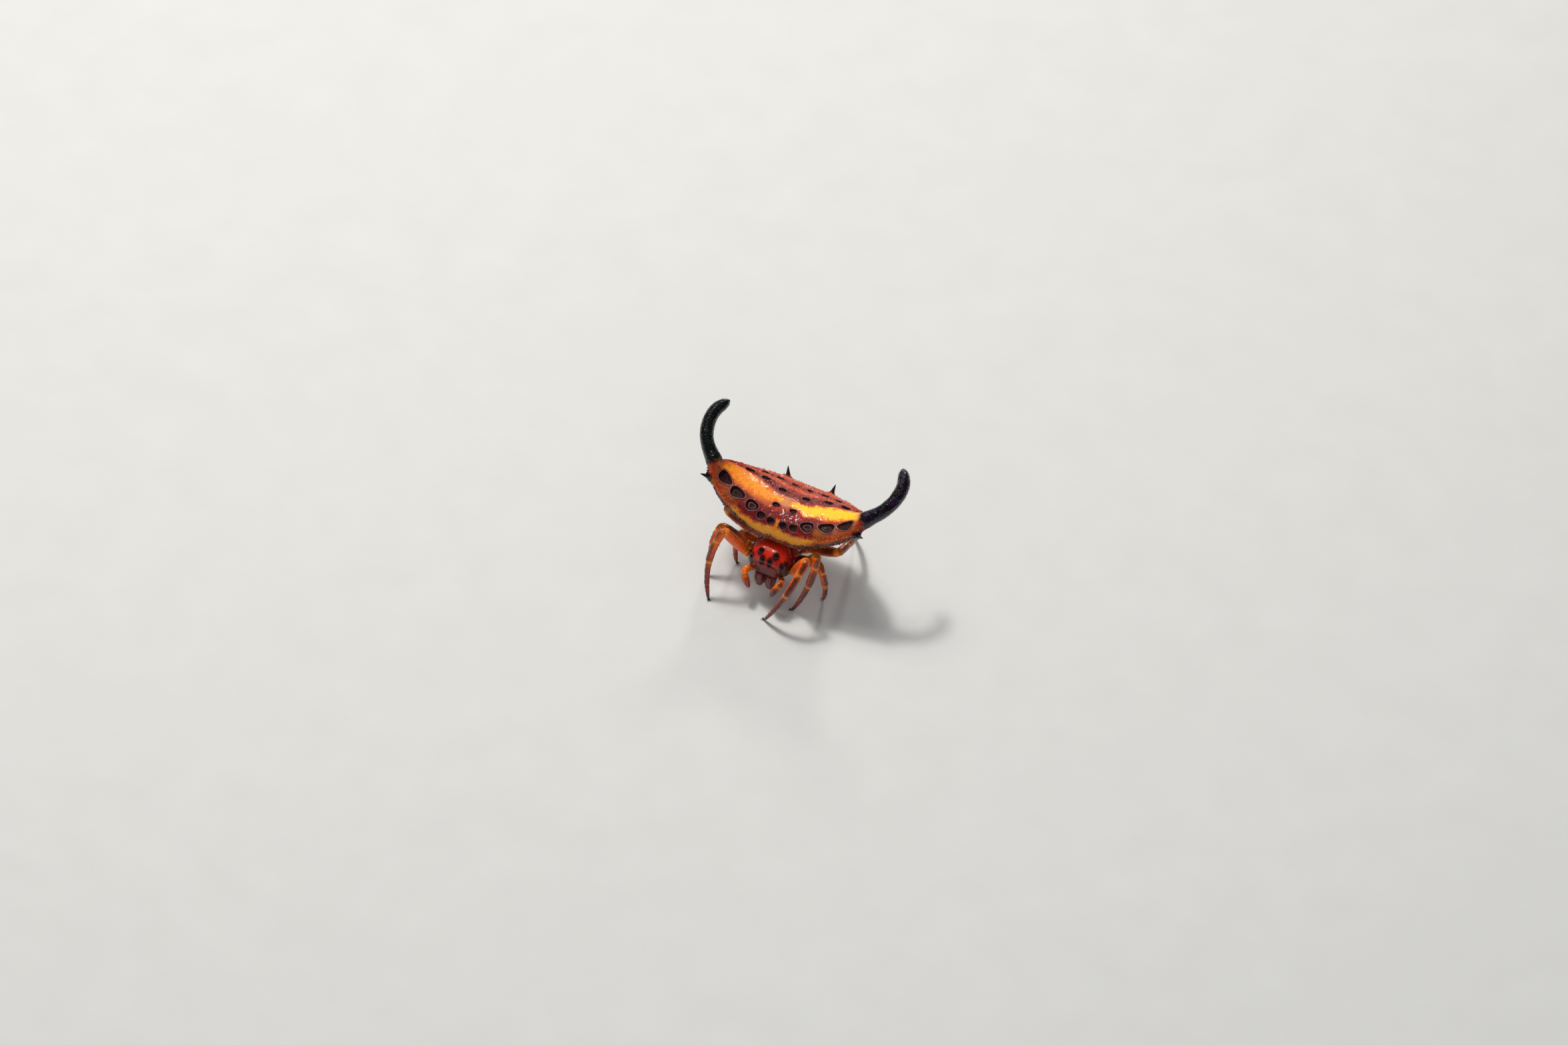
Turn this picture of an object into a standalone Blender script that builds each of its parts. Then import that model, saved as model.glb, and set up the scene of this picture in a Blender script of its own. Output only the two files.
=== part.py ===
"""A horned spiny orb weaver, life size, standing on a flat floor.

The spider faces -Y, +Z is up, and its own left side is at +X. Every size below is in millimetres,
in the animal's own frame, and the finished meshes are written in metres with the origin under the
middle of the animal.
"""

import math

import bmesh
import bpy
from mathutils import Matrix, Vector
from mathutils.bvhtree import BVHTree

MM = 0.001
GAP = 0.25
EYE_GAP = 0.1
ABOVE_ALL = 20.0
SHARP_ANGLE = 45
SIDES = {"left": 1, "right": -1}
UP = Vector((0, 0, 1))
DOWN = Vector((0, 0, -1))

# Abdomen: a broad hard shield that rises to a horn at each side
HALF_WIDTH = 6.1
RINGS_PER_SIDE = 15
RING_CROWDING = 1.35
POINTS_PER_RING = 28
# Each margin, read at a share of the half width: (share, y, z)
FRONT_MARGIN = (
    (0.0, -2.30, 4.72),
    (0.25, -2.32, 4.84),
    (0.42, -2.28, 5.25),
    (0.6, -2.15, 5.85),
    (0.76, -1.88, 6.42),
    (0.9, -1.35, 6.98),
    (1.0, -0.6, 7.7),
)
REAR_MARGIN = (
    (0.0, 3.42, 4.95),
    (0.28, 3.32, 5.06),
    (0.5, 2.9, 5.46),
    (0.74, 2.0, 6.28),
    (0.9, 1.05, 7.3),
    (1.0, 0.55, 8.05),
)
# The crown between the margins: (share, y, z)
CROWN = (
    (0.0, 0.2, 6.78),
    (0.4, 0.2, 6.92),
    (0.64, 0.15, 7.1),
    (0.8, 0.05, 7.42),
    (0.91, 0.0, 7.95),
    (1.0, 0.0, 8.55),
)
# How far the underside hangs below the lower margin, and how much thinner that gets at the ends
UNDERSIDE_DROP = 0.75
UNDERSIDE_THINS = 0.2
# A section's corners: 2 is an ellipse, more is squarer; all three reach 2 where the horns begin
FRONT_SQUARENESS = 3.5
REAR_SQUARENESS = 1.55
UNDER_SQUARENESS = 1.3
ROUND = 2
END_BLEND_FROM = 0.88

# Belly: a flared cone under the shield that carries the spinnerets: (z, radius across, radius along)
BELLY_AT = (0.0, 1.6)
BELLY_RINGS = (
    (5.2, 3.0, 1.75),
    (4.5, 2.5, 1.55),
    (3.7, 1.75, 1.15),
    (3.0, 1.15, 0.8),
    (2.5, 0.8, 0.72),
    (2.3, 0.62, 0.6),
)
BELLY_SIDES = 20

# Horns: sickle shaped, curving out, back and up
HORN_PATH = (
    (6.15, -0.05, 8.12),
    (7.05, 0.68, 8.76),
    (7.54, 1.7, 9.28),
    (7.55, 2.84, 9.76),
    (6.97, 3.95, 10.1),
)
HORN_RADII = ((0.0, 0.6), (0.1, 0.53), (0.25, 0.49), (0.7, 0.48), (0.86, 0.42), (0.95, 0.28), (1.0, 0.06))
HORN_SIDES = 14
HORN_RINGS = 18
# The horn's rings crowd towards its tip by this much, and its root's direction is read this far along
HORN_CROWDING = 0.35
HORN_LOOK_AHEAD = 0.02

# Small spines: name, root on the shield, direction, length
SMALL_SPINES = (
    ("spine_front", (5.72, -1.05, 7.3), (0.93, -0.3, 0.2), 0.62),
    ("spine_rear", (1.7, 3.26, 5.12), (0.2, 0.3, 0.93), 0.84),
)
# A spine's radius along its length: (share of the length, share of the root's radius)
SPINE_RADIUS = 0.27
SPINE_TAPER = ((0.0, 1.0), (0.25, 0.72), (0.6, 0.42), (1.0, 0.15))
SPINE_BEND = 0.06
SOCKET_SINK = 0.45
SOCKET_FLARE = 1.5
SPINE_SIDES = 10

# Sigilla, the sunken dots of the shield: (x, y, half length, half width, turn in degrees)
SIGILLA = (
    (4.83, -0.66, 0.62, 0.46, 25),
    (3.6, -1.18, 0.6, 0.42, 12),
    (2.22, -1.55, 0.5, 0.4, 8),
    (1.28, -1.88, 0.34, 0.28, 0),
    (0.5, -1.94, 0.31, 0.27, 0),
    (0.7, -0.73, 0.28, 0.22, 0),
    (0.97, 0.8, 0.32, 0.24, 0),
    (2.5, 1.3, 0.38, 0.24, -8),
    (3.85, 1.35, 0.42, 0.22, -22),
    (0.6, 2.12, 0.26, 0.22, 0),
    (1.8, 2.2, 0.32, 0.22, -8),
    (2.95, 2.05, 0.32, 0.2, -25),
)
SIGILLUM_DEPTH = 0.16
SIGILLUM_SIDES = 12
# The cutter of a dot flares as it rises: (lift from the surface, share of the dot's size)
SIGILLUM_FLARE = ((-SIGILLUM_DEPTH, 0.72), (0.0, 1.0), (0.3, 1.3))

# Carapace stations from front to rear: (y, half width, top)
CARAPACE = (
    (-3.52, 1.0, 3.5),
    (-3.4, 1.26, 3.78),
    (-3.1, 1.52, 4.14),
    (-2.6, 1.64, 4.36),
    (-1.9, 1.76, 4.36),
    (-1.2, 1.8, 4.08),
    (-0.6, 1.5, 3.68),
    (-0.25, 1.0, 3.4),
)
CARAPACE_FLOOR = 2.72
CARAPACE_SQUARENESS = 2.7
CARAPACE_POINTS = 22
CARAPACE_RINGS = 18
# How much of the ring spacing is even; the rest crowds towards the face
CARAPACE_EVENNESS = 0.45

# Sternum, the shield between the leg roots
STERNUM_CENTRE = (0.0, -1.25, 2.22)
STERNUM_HALF = (0.52, 0.95)
STERNUM_THICKNESS = 0.56
STERNUM_SIDES = 20
# A plate's rounded lower edge: (lift as a share of the thickness, share of its size)
PLATE_EDGE = ((-0.5, 0.8), (-0.36, 0.95), (0.0, 1.0), (0.5, 1.0))
PLATE_SQUARENESS = 2.4

# Legs, front pair first: where each pair leaves the sternum and where its coxa ends, as |x|, y, z
COXA_ROOTS = ((0.42, -2.15, 2.2), (0.66, -1.5, 2.2), (0.66, -0.95, 2.2), (0.42, -0.4, 2.2))
COXA_ENDS = ((1.85, -2.62, 2.85), (2.1, -1.85, 2.8), (2.0, -1.1, 2.75), (1.8, 0.0, 2.7))
# The right hind leg is swung forward at its hip, so that its thigh shows under the shield's front edge
SWUNG_HIPS = {("4", "right"): (2.25, -0.3, 2.5)}
# Pose of each leg: knee, the point that the lower leg bows towards, and the foot's place on the floor,
# with x counted outwards
LEG_POSES = {
    ("1", "left"): ((3.12, -3.3, 5.2), (2.9, -5.9, 3.4), (1.05, -5.5)),
    ("1", "right"): ((3.46, -3.38, 5.05), (4.49, -4.68, 2.87), (3.36, -5.66)),
    ("2", "left"): ((3.5, -2.3, 4.95), (3.7, -3.4, 2.7), (2.35, -3.7)),
    ("2", "right"): ((4.3, -1.9, 3.7), (4.9, -2.7, 2.9), (4.42, -3.67)),
    ("3", "left"): ((3.4, -1.6, 3.35), (4.5, -2.2, 1.9), (3.85, -1.7)),
    ("3", "right"): ((3.05, -1.2, 3.0), (3.7, -1.4, 1.6), (3.2, -1.5)),
    ("4", "left"): ((4.2, -0.2, 3.77), (4.6, 3.0, 3.3), (3.1, 4.8)),
    ("4", "right"): ((4.7, -0.3, 3.65), (5.9, 2.4, 3.1), (4.6, 4.5)),
}
# Shares of the lower leg: patella, tibia, metatarsus, tarsus
LOWER_SHARES = (0.2, 0.32, 0.3, 0.18)
TIBIA_END = LOWER_SHARES[0] + LOWER_SHARES[1]
# Each length of a leg: (share along it, radius); the tibia's and foot's shares are of the lower leg
COXA = ((0.0, 0.22), (0.45, 0.29), (0.8, 0.3), (1.0, 0.27))
FEMUR = ((0.0, 0.28), (0.12, 0.31), (0.4, 0.37), (0.75, 0.38), (1.0, 0.3))
TIBIA = (
    (0.0, 0.29),
    (0.07, 0.31),
    (LOWER_SHARES[0], 0.28),
    (LOWER_SHARES[0] + 0.1, 0.3),
    (TIBIA_END - 0.06, 0.31),
    (TIBIA_END, 0.27),
)
FOOT = (
    (TIBIA_END, 0.25),
    (TIBIA_END + 0.08, 0.26),
    (TIBIA_END + LOWER_SHARES[2], 0.24),
    (0.93, 0.21),
)
FOOT_FLAT_RADIUS = 0.16
SHORT_PAIR = "3"
SHORT_LEG = 0.9
LEG_SIDES = 10

# Jaws, palps and mouthparts
CHELICERA_TOP = (0.47, -3.14, 2.45)
CHELICERA_TIP = (0.38, -3.4, 1.1)
CHELICERA = ((0.0, 0.28), (0.2, 0.34), (0.5, 0.33), (0.8, 0.24), (1.0, 0.1))
CHELICERA_SWELL = 0.14
CHELICERA_SIDES = 12
PALP_JOINTS = (
    (1.1, -3.1, 2.2),
    (1.36, -3.45, 2.3),
    (1.4, -3.95, 2.4),
    (1.12, -4.25, 1.9),
    (0.9, -4.2, 1.25),
)
PALP_RADII = ((0.0, 0.2), (0.25, 0.25), (0.5, 0.25), (0.75, 0.26), (1.0, 0.14))
PALP_RINGS = 12
MOUTH_CENTRE = (0.0, -2.62, 2.15)
MOUTH_HALF = (0.4, 0.15)
MOUTH_THICKNESS = 0.5
MOUTH_SIDES = 14

# Eyes: |x|, y on the carapace, radius
EYES = (
    ("eye_median_rear", 0.58, -3.02, 0.22),
    ("eye_median_front", 0.3, -3.42, 0.19),
    ("eye_side_rear", 1.38, -3.02, 0.16),
    ("eye_side_front", 1.2, -3.3, 0.16),
)

EYE_SEGMENTS = 10
EYE_RINGS = 6

# Pedicel, the narrow waist
PEDICEL_RADIUS = 0.42
PEDICEL_SPAN = ((0.0, -0.5, 3.1), (0.0, 1.1, 3.1))
PEDICEL_SIDES = 14

# Spinnerets, a ring of short cones: (|x|, y, radius, length) of each pair, under a round base
SPINNERET_BASE = ((0.0, 0.52), (0.16, 0.5))
SPINNERET_BASE_SIDES = 16
SPINNERET_CONES = ((0.2, -0.2, 0.2, 0.42), (0.17, 0.2, 0.17, 0.34))
CONE_TAPER = 0.55
CONE_SINK = 0.06
CONE_LEAN = (0.05, 0.3)
CONE_SIDES = 8

COLOURS = {
    "abdomen_shell": ((0.62, 0.14, 0.02), 0.32),
    "horn_black": ((0.012, 0.012, 0.016), 0.4),
    "carapace_red": ((0.42, 0.02, 0.012), 0.28),
    "leg_orange": ((0.62, 0.12, 0.015), 0.35),
    "underside_brown": ((0.09, 0.03, 0.015), 0.45),
    "jaw_dark": ((0.1, 0.01, 0.01), 0.3),
    "eye_black": ((0.01, 0.008, 0.008), 0.08),
}


def clear_scene():
    for obj in list(bpy.data.objects):
        bpy.data.objects.remove(obj)


def material(slot):
    """The finish of one kind of shell, made once."""
    found = bpy.data.materials.get(slot)
    if found:
        return found
    made = bpy.data.materials.new(slot)
    made.use_nodes = True
    shader = made.node_tree.nodes["Principled BSDF"]
    colour, roughness = COLOURS[slot]
    shader.inputs["Base Color"].default_value = (*colour, 1.0)
    shader.inputs["Roughness"].default_value = roughness
    shader.inputs["Metallic"].default_value = 0.0
    return made


def smooth_between(a, b, t):
    t = max(0.0, min(1.0, t))
    return a + (b - a) * t * t * (3 - 2 * t)


def along(stations, share):
    """Reads a curve given at a few shares: a cubic through the stations, with no overshoot at the ends."""
    last = len(stations) - 1
    for i in range(last):
        if share <= stations[i + 1][0] or i == last - 1:
            break
    low, high = stations[i], stations[i + 1]
    width = high[0] - low[0]
    t = (share - low[0]) / width
    values = []
    for k in range(1, len(low)):
        slopes = []
        for j in (i, i + 1):
            before, after = stations[max(j - 1, 0)], stations[min(j + 1, last)]
            slope = (after[k] - before[k]) / (after[0] - before[0])
            slopes.append(0.0 if j == 0 else slope)
        h00 = 2 * t**3 - 3 * t**2 + 1
        h10 = t**3 - 2 * t**2 + t
        h01 = -2 * t**3 + 3 * t**2
        h11 = t**3 - t**2
        values.append(h00 * low[k] + h10 * width * slopes[0] + h01 * high[k] + h11 * width * slopes[1])
    return values[0] if len(values) == 1 else values


def spline(points, t):
    """A point on a Catmull-Rom curve through the points, t from 0 to 1."""
    points = [Vector(p) for p in points]
    points = [2 * points[0] - points[1], *points, 2 * points[-1] - points[-2]]
    spans = len(points) - 3
    where = min(max(t, 0.0), 1.0) * spans
    i = min(int(where), spans - 1)
    u = where - i
    a, b, c, d = points[i : i + 4]
    return 0.5 * (2 * b + (c - a) * u + (2 * a - 5 * b + 4 * c - d) * u**2 + (3 * b - a - 3 * c + d) * u**3)


def mesh_object(name, bm):
    bmesh.ops.recalc_face_normals(bm, faces=bm.faces)
    mesh = bpy.data.meshes.new(name)
    bm.to_mesh(mesh)
    bm.free()
    obj = bpy.data.objects.new(name, mesh)
    bpy.context.scene.collection.objects.link(obj)
    return obj


def loft(name, rings):
    """A closed mesh through rings of equal length, with a flat cap at each end."""
    bm = bmesh.new()
    made = [[bm.verts.new(p) for p in ring] for ring in rings]
    count = len(rings[0])
    for low, high in zip(made, made[1:]):
        for i in range(count):
            j = (i + 1) % count
            bm.faces.new((low[i], low[j], high[j], high[i]))
    bm.faces.new(made[0])
    bm.faces.new(made[-1])
    return mesh_object(name, bm)


def turns(count):
    """Even steps round a full turn."""
    return [math.tau * i / count for i in range(count)]


def level_across(direction):
    """A unit vector across a direction, as level as it can be."""
    side = direction.cross(UP)
    if side.length < 1e-3:
        side = Vector((1, 0, 0))
    return side.normalized()


def tube(name, points, radii, sides, last_direction=None, first_direction=None):
    """A round limb through the points, one radius for each."""
    points = [Vector(p) for p in points]
    last = len(points) - 1
    rings = []
    side = None
    for i, (point, radius) in enumerate(zip(points, radii)):
        direction = (points[min(i + 1, last)] - points[max(i - 1, 0)]).normalized()
        if i == last and last_direction:
            direction = Vector(last_direction).normalized()
        if i == 0 and first_direction:
            direction = Vector(first_direction).normalized()
        if side is None:
            side = level_across(direction)
        side = (side - side.dot(direction) * direction).normalized()
        over = side.cross(direction)
        rings.append([point + radius * (math.cos(a) * side + math.sin(a) * over) for a in turns(sides)])
    return loft(name, rings)


def grown(obj, by):
    """A copy of a closed mesh with its surface moved out, used to keep the gap between neighbours."""
    copy = obj.copy()
    copy.data = obj.data.copy()
    copy.name = obj.name + "_grown"
    bpy.context.scene.collection.objects.link(copy)
    bm = bmesh.new()
    bm.from_mesh(copy.data)
    bm.normal_update()
    moved = [v.co + v.normal * by * v.calc_shell_factor() for v in bm.verts]
    for vert, place in zip(bm.verts, moved):
        vert.co = place
    bm.to_mesh(copy.data)
    bm.free()
    return copy


def keep_largest(mesh):
    """Drops every closed surface but the largest one."""
    bm = bmesh.new()
    bm.from_mesh(mesh)
    left = set(bm.verts)
    islands = []
    while left:
        island, front = set(), [left.pop()]
        while front:
            vert = front.pop()
            island.add(vert)
            for edge in vert.link_edges:
                other = edge.other_vert(vert)
                if other in left:
                    left.remove(other)
                    front.append(other)
        islands.append(island)
    islands.sort(key=lambda island: -sum(f.calc_area() for v in island for f in v.link_faces))
    for island in islands[1:]:
        bmesh.ops.delete(bm, geom=list(island), context="VERTS")
    bm.to_mesh(mesh)
    bm.free()


def combine(obj, others, operation):
    """One Boolean of a whole collection, applied, with the collection's objects removed after."""
    group = bpy.data.collections.new(obj.name + "_" + operation.lower())
    bpy.context.scene.collection.children.link(group)
    for other in others:
        group.objects.link(other)
    modifier = obj.modifiers.new("combine", "BOOLEAN")
    modifier.operand_type = "COLLECTION"
    modifier.collection = group
    modifier.operation = operation
    modifier.solver = "EXACT"
    bpy.context.view_layer.update()
    graph = bpy.context.evaluated_depsgraph_get()
    result = bpy.data.meshes.new_from_object(obj.evaluated_get(graph))
    obj.modifiers.clear()
    obj.data = result
    keep_largest(result)
    for other in others:
        bpy.data.objects.remove(other)
    bpy.data.collections.remove(group)


def shield_section(share):
    """One ring of the shield in the YZ plane: front margin, crown, rear margin, underside."""
    front_y, front_z = along(FRONT_MARGIN, share)
    rear_y, rear_z = along(REAR_MARGIN, share)
    crown_y, crown_z = along(CROWN, share)
    drop = UNDERSIDE_DROP * (1 - UNDERSIDE_THINS * share)
    low_z = min(front_z, rear_z) - drop
    ends = share**3
    front_n = FRONT_SQUARENESS + (ROUND - FRONT_SQUARENESS) * ends
    rear_n = REAR_SQUARENESS + (ROUND - REAR_SQUARENESS) * ends
    under_n = UNDER_SQUARENESS + (ROUND - UNDER_SQUARENESS) * ends
    ring = []
    for turn in turns(POINTS_PER_RING):
        outward, lift = math.cos(turn), math.sin(turn)
        in_front = outward > 0
        edge_y, edge_z = (front_y, front_z) if in_front else (rear_y, rear_z)
        if lift >= -1e-9:
            n = front_n if in_front else rear_n
            peak = crown_z
        else:
            n = under_n
            peak = low_z
        reach = abs(outward) ** (2 / n)
        rise = abs(lift) ** (2 / n)
        ring.append(Vector((0.0, crown_y + (edge_y - crown_y) * reach, edge_z + (peak - edge_z) * rise)))
    return ring


def horn_ring_at(start, direction, radius):
    """A circle that starts at the front and goes over the top, as the shield's rings do."""
    over = (UP - direction.z * direction).normalized()
    ahead = over.cross(direction)
    if ahead.y > 0:
        ahead = -ahead
    return [start + radius * (math.cos(a) * ahead + math.sin(a) * over) for a in turns(POINTS_PER_RING)]


def horn_root():
    """Where the horn's middle line starts, and its direction there."""
    start = Vector(HORN_PATH[0])
    return start, (spline(HORN_PATH, HORN_LOOK_AHEAD) - start).normalized()


def shield_ring(share):
    """A ring of the left half, turning into the horn's round root towards the end."""
    ring = [Vector((HALF_WIDTH * share, p.y, p.z)) for p in shield_section(share)]
    if share <= END_BLEND_FROM:
        return ring
    start, direction = horn_root()
    back = HALF_WIDTH * (1 - share) / direction.x
    round_ring = horn_ring_at(start - direction * back, direction, HORN_RADII[0][1])
    weight = smooth_between(0, 1, (share - END_BLEND_FROM) / (1 - END_BLEND_FROM))
    return [a.lerp(b, weight) for a, b in zip(ring, round_ring)]


def on_side(side, point):
    """A point given for the left side, or its mirror image."""
    return Vector((side * point[0], point[1], point[2]))


def surface_reader(obj):
    """Gives the height and the mean outward direction of an object's upper face over a spot."""
    bm = bmesh.new()
    bm.from_mesh(obj.data)
    tree = BVHTree.FromBMesh(bm)
    bm.free()

    def read(x, y, spread):
        total = Vector((0, 0, 0))
        for step_x, step_y in ((0, 0), (1, 0), (-1, 0), (0, 1), (0, -1)):
            start = Vector((x + step_x * spread, y + step_y * spread, ABOVE_ALL))
            hit, normal, _, _ = tree.ray_cast(start, DOWN)
            if hit is None:
                continue
            total += normal
            if step_x == step_y == 0:
                place = hit
        return place, total.normalized()

    return read


def make_belly():
    rings = []
    for z, across, deep in BELLY_RINGS:
        middle = Vector((*BELLY_AT, z))
        flat = [(across * math.cos(a), deep * math.sin(a), 0) for a in turns(BELLY_SIDES)]
        rings.append([middle + Vector(p) for p in flat])
    return loft("belly", rings)


def make_sockets():
    """Short stubs on the shield that end in the flat face each small spine stands on."""
    stubs = []
    for name, root, direction, _ in SMALL_SPINES:
        for side_name, side in SIDES.items():
            foot = on_side(side, root)
            ahead = on_side(side, direction).normalized()
            points = (foot - ahead * SOCKET_SINK, foot)
            radii = (SPINE_RADIUS * SOCKET_FLARE, SPINE_RADIUS)
            stubs.append(tube(f"{name}_{side_name}_socket", points, radii, SPINE_SIDES))
    return stubs


def make_sigillum_cutters(shield):
    cutters = []
    read = surface_reader(shield)
    for x, y, half_length, half_width, turn in SIGILLA:
        for side_name, side in SIDES.items():
            foot, normal = read(side * x, y, half_width)
            along_x = (Vector((1, 0, 0)) - normal.x * normal).normalized()
            along_y = normal.cross(along_x)
            angle = math.radians(turn * side)
            major = math.cos(angle) * along_x + math.sin(angle) * along_y
            minor = normal.cross(major)
            rings = []
            for lift, size in SIGILLUM_FLARE:
                ring = []
                for a in turns(SIGILLUM_SIDES):
                    flat = half_length * math.cos(a) * major + half_width * math.sin(a) * minor
                    ring.append(foot + normal * lift + flat * size)
                rings.append(ring)
            cutters.append(loft(f"sigillum_{x}_{y}_{side_name}", rings))
    return cutters


def make_abdomen(carapace):
    shares = [1 - (1 - i / RINGS_PER_SIDE) ** RING_CROWDING for i in range(RINGS_PER_SIDE + 1)]
    left = [shield_ring(s) for s in shares]
    right = [[on_side(SIDES["right"], p) for p in ring] for ring in reversed(left[1:])]
    abdomen = loft("abdomen", right + left)
    combine(abdomen, [make_belly(), *make_sockets()], "UNION")
    combine(abdomen, make_sigillum_cutters(abdomen), "DIFFERENCE")
    combine(abdomen, [grown(carapace, GAP)], "DIFFERENCE")
    return abdomen


def make_horn(side_name, side):
    start, direction = horn_root()
    points, radii = [], []
    for i in range(HORN_RINGS + 1):
        t = i / HORN_RINGS
        t = t + HORN_CROWDING * t * (1 - t)
        point = spline(HORN_PATH, t) if i else start + direction * GAP
        points.append(on_side(side, point))
        radii.append(along(HORN_RADII, t))
    first = on_side(side, direction)
    return tube(f"horn_{side_name}", points, radii, HORN_SIDES, first_direction=first)


def make_small_spine(name, root, direction, length, side_name, side):
    ahead = on_side(side, direction).normalized()
    foot = on_side(side, root) + ahead * GAP
    points = [foot + ahead * length * t + UP * SPINE_BEND * t * t for t, _ in SPINE_TAPER]
    radii = [SPINE_RADIUS * share for _, share in SPINE_TAPER]
    return tube(f"{name}_{side_name}", points, radii, SPINE_SIDES, first_direction=ahead)


def carapace_ring(y, half_width, top):
    ring = []
    span = CARAPACE_POINTS - 1
    for i in range(CARAPACE_POINTS):
        turn = math.pi * i / span
        across = math.copysign(abs(math.cos(turn)) ** (2 / CARAPACE_SQUARENESS), math.cos(turn))
        rise = abs(math.sin(turn)) ** (2 / CARAPACE_SQUARENESS)
        ring.append(Vector((half_width * across, y, CARAPACE_FLOOR + (top - CARAPACE_FLOOR) * rise)))
    return ring


def make_carapace():
    first, last = CARAPACE[0][0], CARAPACE[-1][0]
    rings = []
    for i in range(CARAPACE_RINGS + 1):
        t = i / CARAPACE_RINGS
        y = first + (last - first) * (CARAPACE_EVENNESS * t + (1 - CARAPACE_EVENNESS) * t * t)
        rings.append(carapace_ring(y, *along(CARAPACE, y)))
    return loft("carapace", rings)


def make_eyes(carapace):
    eyes = []
    read = surface_reader(carapace)
    for name, x, y, radius in EYES:
        for side_name, side in SIDES.items():
            centre, normal = read(side * x, y, radius / 2)
            bm = bmesh.new()
            bmesh.ops.create_uvsphere(bm, u_segments=EYE_SEGMENTS, v_segments=EYE_RINGS, radius=radius)
            bmesh.ops.transform(bm, matrix=Matrix.Translation(centre + normal * EYE_GAP), verts=bm.verts)
            eye = mesh_object(f"{name}_{side_name}", bm)
            combine(eye, [grown(carapace, EYE_GAP)], "DIFFERENCE")
            eyes.append(eye)
    return eyes


def make_plate(name, centre, half, thickness, sides):
    """A low rounded plate, level, such as the sternum."""
    rings = []
    power = 2 / PLATE_SQUARENESS
    for lift, size in PLATE_EDGE:
        ring = []
        for a in turns(sides):
            x = math.copysign(abs(math.cos(a)) ** power, math.cos(a))
            y = math.copysign(abs(math.sin(a)) ** power, math.sin(a))
            ring.append(Vector(centre) + Vector((half[0] * size * x, half[1] * size * y, thickness * lift)))
        rings.append(ring)
    return loft(name, rings)


def bowed(start, towards, end, t):
    """A point on the curve that leaves start, bows towards a point and ends at end."""
    return (1 - t) ** 2 * start + 2 * t * (1 - t) * towards + t**2 * end


def limb(name, points, radii, trim_start, trim_end, **ends):
    """A tube whose ends are drawn back a little from its joints."""
    points[0] = points[0] + (points[1] - points[0]).normalized() * trim_start
    points[-1] = points[-1] + (points[-2] - points[-1]).normalized() * trim_end
    return tube(name, points, radii, LEG_SIDES, **ends)


def make_leg(pair, side_name):
    """The four lengths of a leg: coxa, femur, patella with tibia, and metatarsus with tarsus."""
    side = SIDES[side_name]
    knee, towards, (foot_x, foot_y) = LEG_POSES[(pair, side_name)]
    knee, towards, floor = (on_side(side, p) for p in (knee, towards, (foot_x, foot_y, 0.0)))
    number = int(pair) - 1
    root = on_side(side, COXA_ROOTS[number])
    hip = on_side(side, SWUNG_HIPS.get((pair, side_name), COXA_ENDS[number]))
    scale = SHORT_LEG if pair == SHORT_PAIR else 1.0
    name = f"leg_{pair}_{side_name}"
    half = GAP / 2

    # Neighbouring lengths share the face between them, which halves the bend
    femur_direction = (knee - hip).normalized()
    patella_direction = (bowed(knee, towards, floor, LOWER_SHARES[0]) - knee).normalized()
    hip_face = (femur_direction + (hip - root).normalized()).normalized()
    knee_face = (femur_direction + patella_direction).normalized()

    coxa_points = [root.lerp(hip, t) for t, _ in COXA]
    coxa_radii = [scale * r for _, r in COXA]
    coxa = limb(f"{name}_coxa", coxa_points, coxa_radii, 0.0, half, last_direction=hip_face)

    femur_points = [hip.lerp(knee, t) for t, _ in FEMUR]
    femur_radii = [scale * r for _, r in FEMUR]
    faces = {"first_direction": hip_face, "last_direction": knee_face}
    femur = limb(f"{name}_femur", femur_points, femur_radii, half, half, **faces)

    tibia_points = [bowed(knee, towards, floor, t) for t, _ in TIBIA]
    tibia_radii = [scale * r for _, r in TIBIA]
    tibia = limb(f"{name}_tibia", tibia_points, tibia_radii, half, half, first_direction=knee_face)

    foot_points = [bowed(knee, towards, floor, t) for t, _ in FOOT] + [floor]
    foot_radii = [scale * r for _, r in FOOT] + [FOOT_FLAT_RADIUS]
    foot = limb(f"{name}_foot", foot_points, foot_radii, half, 0.0, last_direction=DOWN)
    return coxa, femur, tibia, foot


def make_jaw(side_name, side):
    top, tip = on_side(side, CHELICERA_TOP), on_side(side, CHELICERA_TIP)
    ahead = Vector((0, -CHELICERA_SWELL, 0))
    points = [top.lerp(tip, t) + ahead * math.sin(math.pi * t) for t, _ in CHELICERA]
    radii = [radius for _, radius in CHELICERA]
    return tube(f"chelicera_{side_name}", points, radii, CHELICERA_SIDES, first_direction=DOWN)


def make_palp(side_name, side):
    joints = [on_side(side, p) for p in PALP_JOINTS]
    shares = [i / PALP_RINGS for i in range(PALP_RINGS + 1)]
    points = [spline(joints, t) for t in shares]
    radii = [along(PALP_RADII, t) for t in shares]
    return tube(f"palp_{side_name}", points, radii, LEG_SIDES)


def make_spinnerets():
    centre = Vector((*BELLY_AT, BELLY_RINGS[-1][0] - GAP))
    points = [centre + DOWN * depth for depth, _ in SPINNERET_BASE]
    base = tube("spinnerets", points, [radius for _, radius in SPINNERET_BASE], SPINNERET_BASE_SIDES)
    cones = []
    for x, y, radius, length in SPINNERET_CONES:
        for side_name, side in SIDES.items():
            start = centre + Vector((side * x, y, -CONE_SINK))
            lean = Vector((side * CONE_LEAN[0], y * CONE_LEAN[1], -1)).normalized()
            points = (start, start + lean * length)
            cones.append(tube(f"cone_{y}_{side_name}", points, (radius, radius * CONE_TAPER), CONE_SIDES))
    combine(base, cones, "UNION")
    return base


def paint(objects, slot):
    for obj in objects:
        obj.data.materials.clear()
        obj.data.materials.append(material(slot))


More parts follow.
